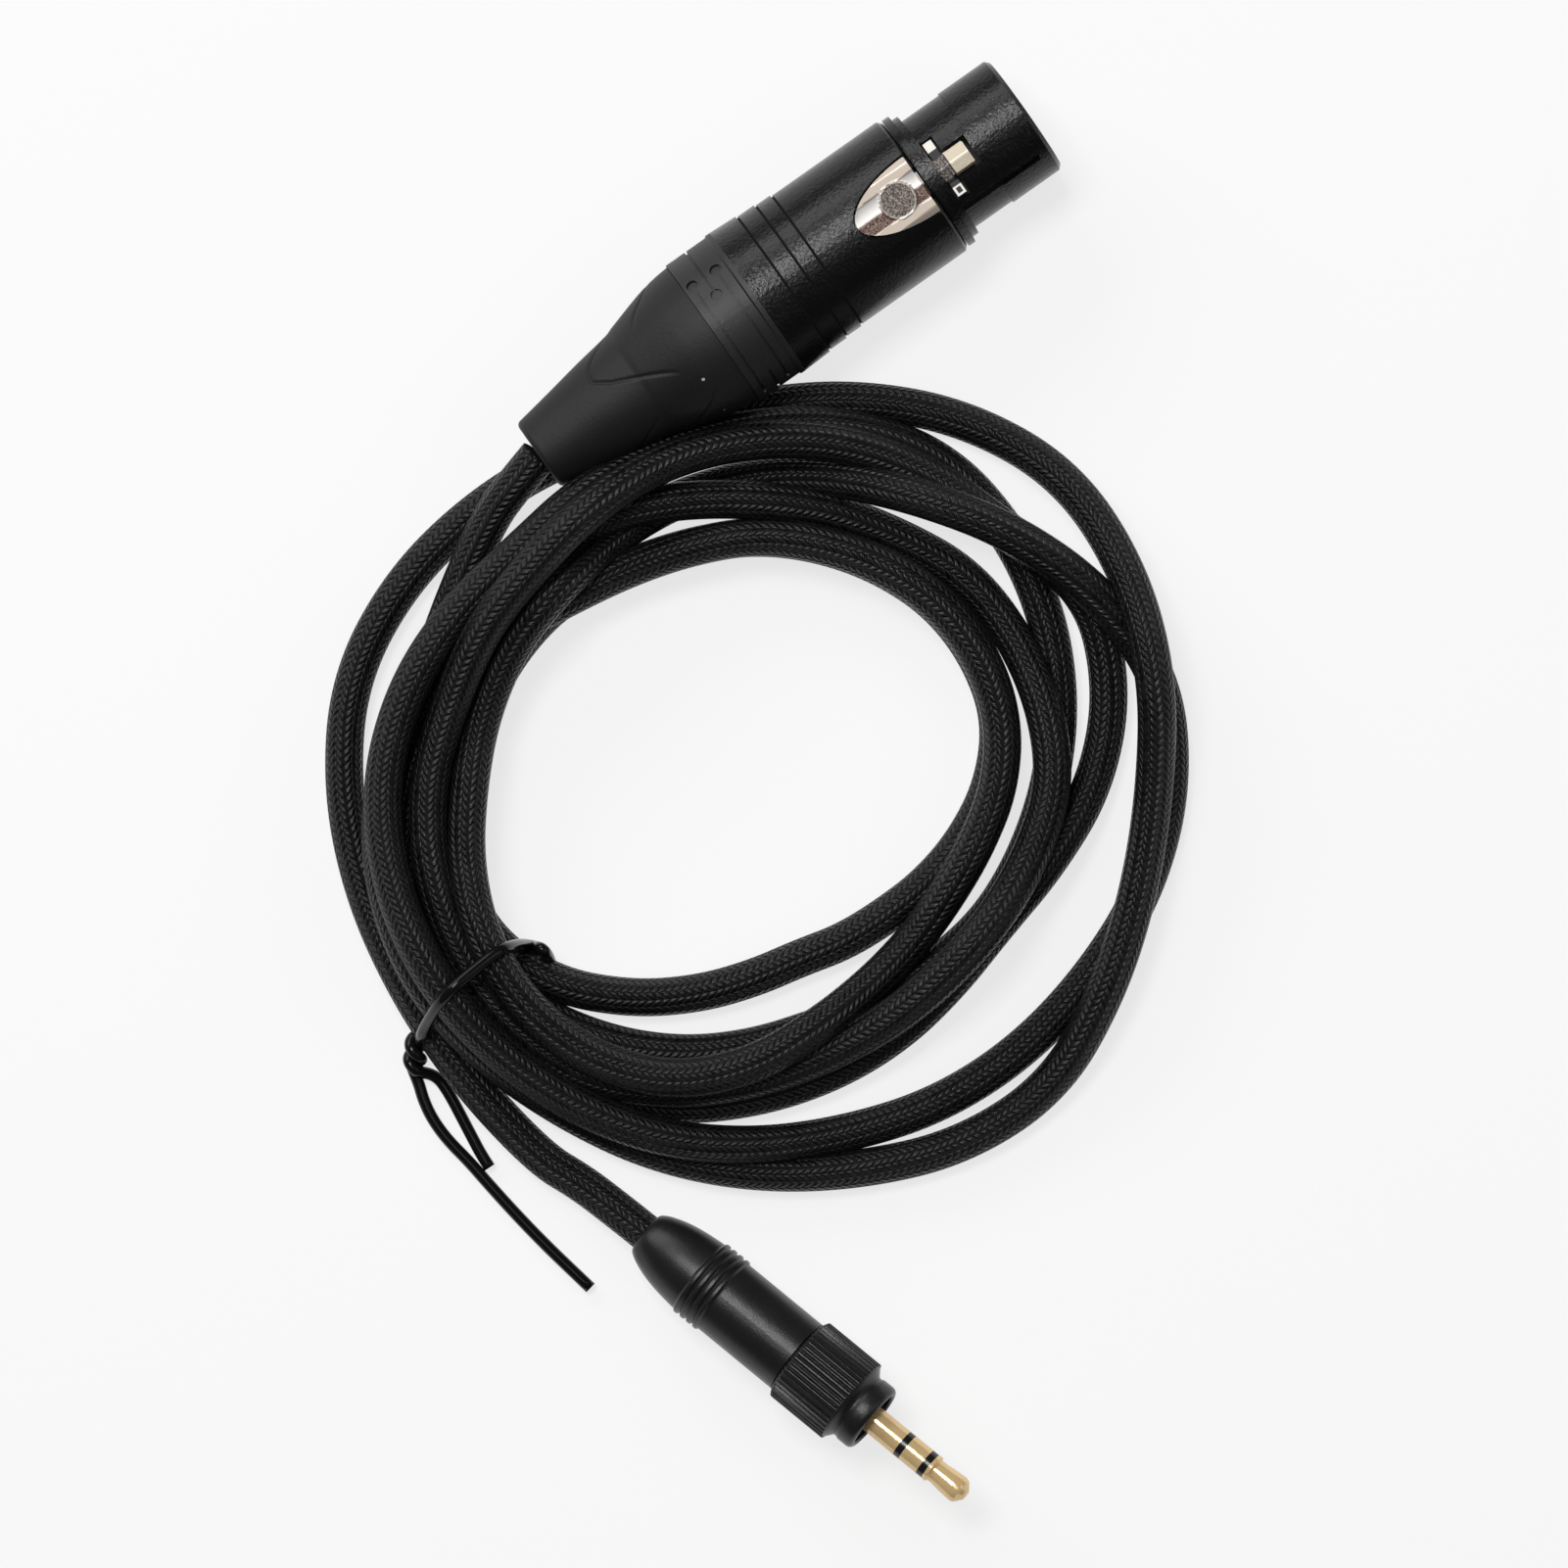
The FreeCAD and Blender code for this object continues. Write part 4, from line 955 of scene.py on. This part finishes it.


# The leaf spring, which the latch presses flat in use; here it keeps the node's shape
springSizes = {
    "foot": (0.0, 0.0, 0.01375),
    "keep": 0.58,  # share of its height left when the latch is fully pressed
    "creases": 20,
}
leafSpring = finishPiece("leafSpring", copiedMesh(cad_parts["latch_spring"]), springSizes["creases"])
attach(leafSpring, "root")
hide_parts("latch_spring")
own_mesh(leafSpring)
print("leaf spring set,", len(leafSpring.data.polygons), "faces")

print("cord laid,", round(cordLength, 3), "m,", len(cordLine), "points")


coatSizes = {
    "grooves": (0.25, 2.85, 5.15),  # middles of the three fine steps, mm along the socket
    "grooveHalf": 0.16,
    # painted shade in the fine grooves
    "grooveShadeTone": 0.0005,
    "grooveRoughness": 0.65,  # on top of the coat's own
    "tones": (0.002, 0.004),
    "roughness": (0.17, 0.25),
    "gloss": 0.3,
    "grain": 2300,
    "relief": 0.00008,
}


def makeCoatedMetal(s):
    # Satin coat, with painted shade in the fine grooves and a rougher finish there
    material, tree, shader, place = startMaterial("satinBlackCoat", Specular_IOR_Level=s["gloss"])
    grain = placeGroup(tree, fineGrain, Vector=place, Scale=s["grain"])
    parts = addNode(tree, "ShaderNodeSeparateXYZ")
    feed(tree, parts.inputs[0], place)
    near = [
        mathNode(tree, "COMPARE", parts.outputs[0], groove * mm, s["grooveHalf"] * mm)
        for groove in s["grooves"]
    ]
    inGroove = mathNode(tree, "MAXIMUM", mathNode(tree, "MAXIMUM", near[0], near[1]), near[2])
    coat = between(tree, grain["Cloud"], *map(grey, s["tones"]))
    feed(tree, shader.inputs["Base Color"], between(tree, inGroove, coat, grey(s["grooveShadeTone"])))
    satin = scaled(tree, grain["Cloud"], *s["roughness"])
    dulled = mathNode(tree, "MULTIPLY_ADD", inGroove, s["grooveRoughness"], satin)
    feed(tree, shader.inputs["Roughness"], dulled)
    bumped(tree, shader, grain["Height"], s["relief"])
    return material


plainSizes = {
    "darkest": 0.8,  # share of the colour where the grain is darkest
    "roughnessFrom": 0.85,  # shares of the roughness, across the grain
    "roughnessTo": 1.15,
}


def makePlain(name, colour, roughness, metallic=0.0, scale=3000, depth=0.00001, **more):
    s = plainSizes
    material, tree, shader, place = startMaterial(name, Metallic=metallic, **more)
    grain = placeGroup(tree, fineGrain, Vector=place, Scale=scale)
    dark = tuple(c * s["darkest"] for c in colour) + (1,)
    feed(tree, shader.inputs["Base Color"], between(tree, grain["Cloud"], dark, (*colour, 1)))
    feed(tree, shader.inputs["Roughness"], scaled(
        tree, grain["Cloud"], roughness * s["roughnessFrom"], roughness * s["roughnessTo"],
    ))
    bumped(tree, shader, grain["Height"], depth)
    return material


rubberSizes = {
    "tones": (0.006, 0.010),
    "roughness": (0.5, 0.62),
    "gloss": 0.38,
    "grain": 2600,
    "relief": 0.00003,
    "lintScale": 420,
    "lintSize": 0.09,  # share of a cell
    "lintTone": 0.5,
}


def makeBootRubber(s):
    material, tree, shader, place = startMaterial("bootRubber", Specular_IOR_Level=s["gloss"])
    grain = placeGroup(tree, fineGrain, Vector=place, Scale=s["grain"])
    lint = placeGroup(tree, lintSpecks, Vector=place, Scale=s["lintScale"], Size=s["lintSize"])
    rubber = between(tree, grain["Cloud"], *map(grey, s["tones"]))
    speckled = between(tree, lint["Mask"], rubber, grey(s["lintTone"]))
    feed(tree, shader.inputs["Base Color"], speckled)
    feed(tree, shader.inputs["Roughness"], scaled(tree, grain["Cloud"], *s["roughness"]))
    bumped(tree, shader, grain["Height"], s["relief"])
    return material


# Painted light on the plated latch, not its own colour: the flats, the hook and the strip carry painted
# reflections, the trough's lit wall, the dimple's rim and the arms' edges painted highlights, the other
# wall and the dimple painted dark reflections with painted glints, and the gap painted shade
latchColours = {
    "flat": (0.44, 0.375, 0.315, 1),
    "wallHighlight": (0.92, 0.89, 0.85, 1),
    "wallDarkReflection": (0.045, 0.022, 0.016, 1),
    "wallGlint": (0.30, 0.20, 0.16, 1),
    "dimpleDarkReflection": (0.055, 0.040, 0.034, 1),
    "dimpleGlint": (0.36, 0.30, 0.27, 1),
    "rimHighlight": (0.72, 0.68, 0.62, 1),
    "hook": (0.56, 0.49, 0.38, 1),
    "strip": (0.30, 0.25, 0.22, 1),
    "gap": (0.010, 0.010, 0.010, 1),
}
# Where the latch's colours meet: mm from none of the second colour to all of it
latchMarks = {
    "sides": (-0.35, 0.35),  # across the trough, from the wall with the painted dark reflection to the wall with the painted highlight
    "trough": (1.95, 1.8),
    "rimHighlight": (2.32, 2.26),
    "dimple": (2.1, 2.0),
    "roughSide": (0.2, -0.2),
    "front": (21.5, 21.6),  # along the latch, where the plate ends
    "strip": (1.42, 1.48),
    "arms": (2.5, 2.6),
    "hole": (24.0, 3.15),  # along and aside, the middle of the painted shade in the arm's hole
    "holeAlong": (0.36, 0.28),
    "holeAside": (0.42, 0.34),
    # from here to the hook, painted shade in the slot
    "slot": (24.55, 24.65),
    "hook": (24.75, 24.85),
    "speck": (0.42, 0.62),  # of the grain's height
}
latchFinish = {
    "metal": 0.35,
    "grain": 5200,
    "roughness": (0.3, 0.4),
    "relief": 0.00012,
}


def makeLatchPaintedLight(c, marks, s):
    # Painted reflections, highlights and shade by place on the latch, in mm from the socket's middle
    material, tree, shader, place = startMaterial("paintedLightLatch", Metallic=s["metal"])
    parts = addNode(tree, "ShaderNodeSeparateXYZ")
    feed(tree, parts.inputs[0], place)
    x, y = (mathNode(tree, "MULTIPLY", parts.outputs[i], 1000) for i in (0, 1))
    aside = mathNode(tree, "ABSOLUTE", y)
    grain = placeGroup(tree, fineGrain, Vector=place, Scale=s["grain"])
    speck = smoothStep(tree, grain["Height"], *marks["speck"])

    def step(value, mark):
        return smoothStep(tree, value, *marks[mark])

    def both(first, second):
        return mathNode(tree, "MULTIPLY", first, second)

    def apart(value, middle):
        return mathNode(tree, "ABSOLUTE", mathNode(tree, "SUBTRACT", value, middle))

    reach = mathNode(tree, "POWER", mathNode(tree, "SUBTRACT", x, latchSizes["dimple"][0]), 2.0)
    reach = mathNode(tree, "SQRT", mathNode(tree, "ADD", reach, mathNode(tree, "POWER", aside, 2.0)))
    inTrough, inDimple = step(aside, "trough"), step(reach, "dimple")
    # the trough's walls: painted glints on a painted dark reflection on one side, a painted highlight on
    # the other
    dark = between(tree, speck, c["wallDarkReflection"], c["wallGlint"])
    wall = between(tree, step(y, "sides"), dark, c["wallHighlight"])
    colour = between(tree, inTrough, c["flat"], wall)
    # a painted highlight on the dimple's rim, painted glints and dark reflections inside it
    colour = between(tree, step(reach, "rimHighlight"), colour, c["rimHighlight"])
    colour = between(tree, inDimple, colour, between(tree, speck, c["dimpleDarkReflection"], c["dimpleGlint"]))
    # the arms: painted reflection on the strip, painted highlight on the edges, painted shade in the gaps,
    # hole and slot, painted reflection on the hook
    arms = between(tree, step(aside, "strip"), between(tree, speck, c["gap"], c["strip"]), c["gap"])
    arms = between(tree, step(aside, "arms"), arms, c["rimHighlight"])
    along, off = marks["hole"]
    hole = both(step(apart(x, along), "holeAlong"), step(apart(y, -off), "holeAside"))
    arms = between(tree, hole, arms, c["gap"])
    arms = between(tree, step(x, "slot"), arms, between(tree, step(x, "hook"), c["gap"], c["hook"]))
    feed(tree, shader.inputs["Base Color"], between(tree, step(x, "front"), colour, arms))
    feed(tree, shader.inputs["Roughness"], scaled(tree, grain["Cloud"], *s["roughness"]))
    rough = mathNode(tree, "MAXIMUM", inDimple, both(inTrough, step(y, "roughSide")))
    bumped(tree, shader, both(grain["Height"], rough), s["relief"])
    return material


finishes = {
    "housing_black": makeCoatedMetal(coatSizes),
    "insert_black": makePlain("mouldedBlack", (0.012, 0.012, 0.012), 0.5, scale=2500, depth=0.00003),
    "boot_rubber": makeBootRubber(rubberSizes),
    "latch_chrome": makeLatchPaintedLight(latchColours, latchMarks, latchFinish),
    "spring_steel": makePlain("springSteel", (0.56, 0.56, 0.57), 0.28, metallic=1.0),
    "collet_grey": makePlain("colletGrey", (0.6, 0.61, 0.63), 0.5),
    "contact_gold": makePlain("platedGold", (0.95, 0.68, 0.34), 0.16, metallic=0.35),
    "plug_insulator": makePlain("glossRing", (0.01, 0.01, 0.01), 0.2),
    "jack_black": makePlain(
        "blackAnodised", (0.012, 0.012, 0.012), 0.32, scale=5000, depth=0.00003, Specular_IOR_Level=0.4,
    ),
    "lead_red": makePlain("redLead", (0.5, 0.02, 0.02), 0.35),
    "lead_white": makePlain("whiteLead", (0.75, 0.75, 0.72), 0.35),
    "lead_bare": makePlain("screenLead", (0.6, 0.4, 0.26), 0.4, metallic=1.0),
    "cord_braid": makePlain("jacketBlack", (0.012, 0.012, 0.012), 0.5),
    "tie_vinyl": makePlain(
        "tieVinyl", (0.006, 0.006, 0.006), 0.15, scale=1200, depth=0.00001, Specular_IOR_Level=0.2,
    ),
}
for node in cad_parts.values():
    for slot in node.material_slots:
        slot.material = finishes[slot.material.name.split(".")[0]]
wireTie.data.materials.append(finishes["tie_vinyl"])
softBoot.data.materials.append(finishes["boot_rubber"])
shapedLatch.data.materials.append(finishes["latch_chrome"])
leafSpring.data.materials.append(finishes["spring_steel"])
for piece, body, slotName in jackPieces.values():
    piece.data.materials.append(finishes[slotName])
print("finishes placed on", len(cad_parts), "nodes")
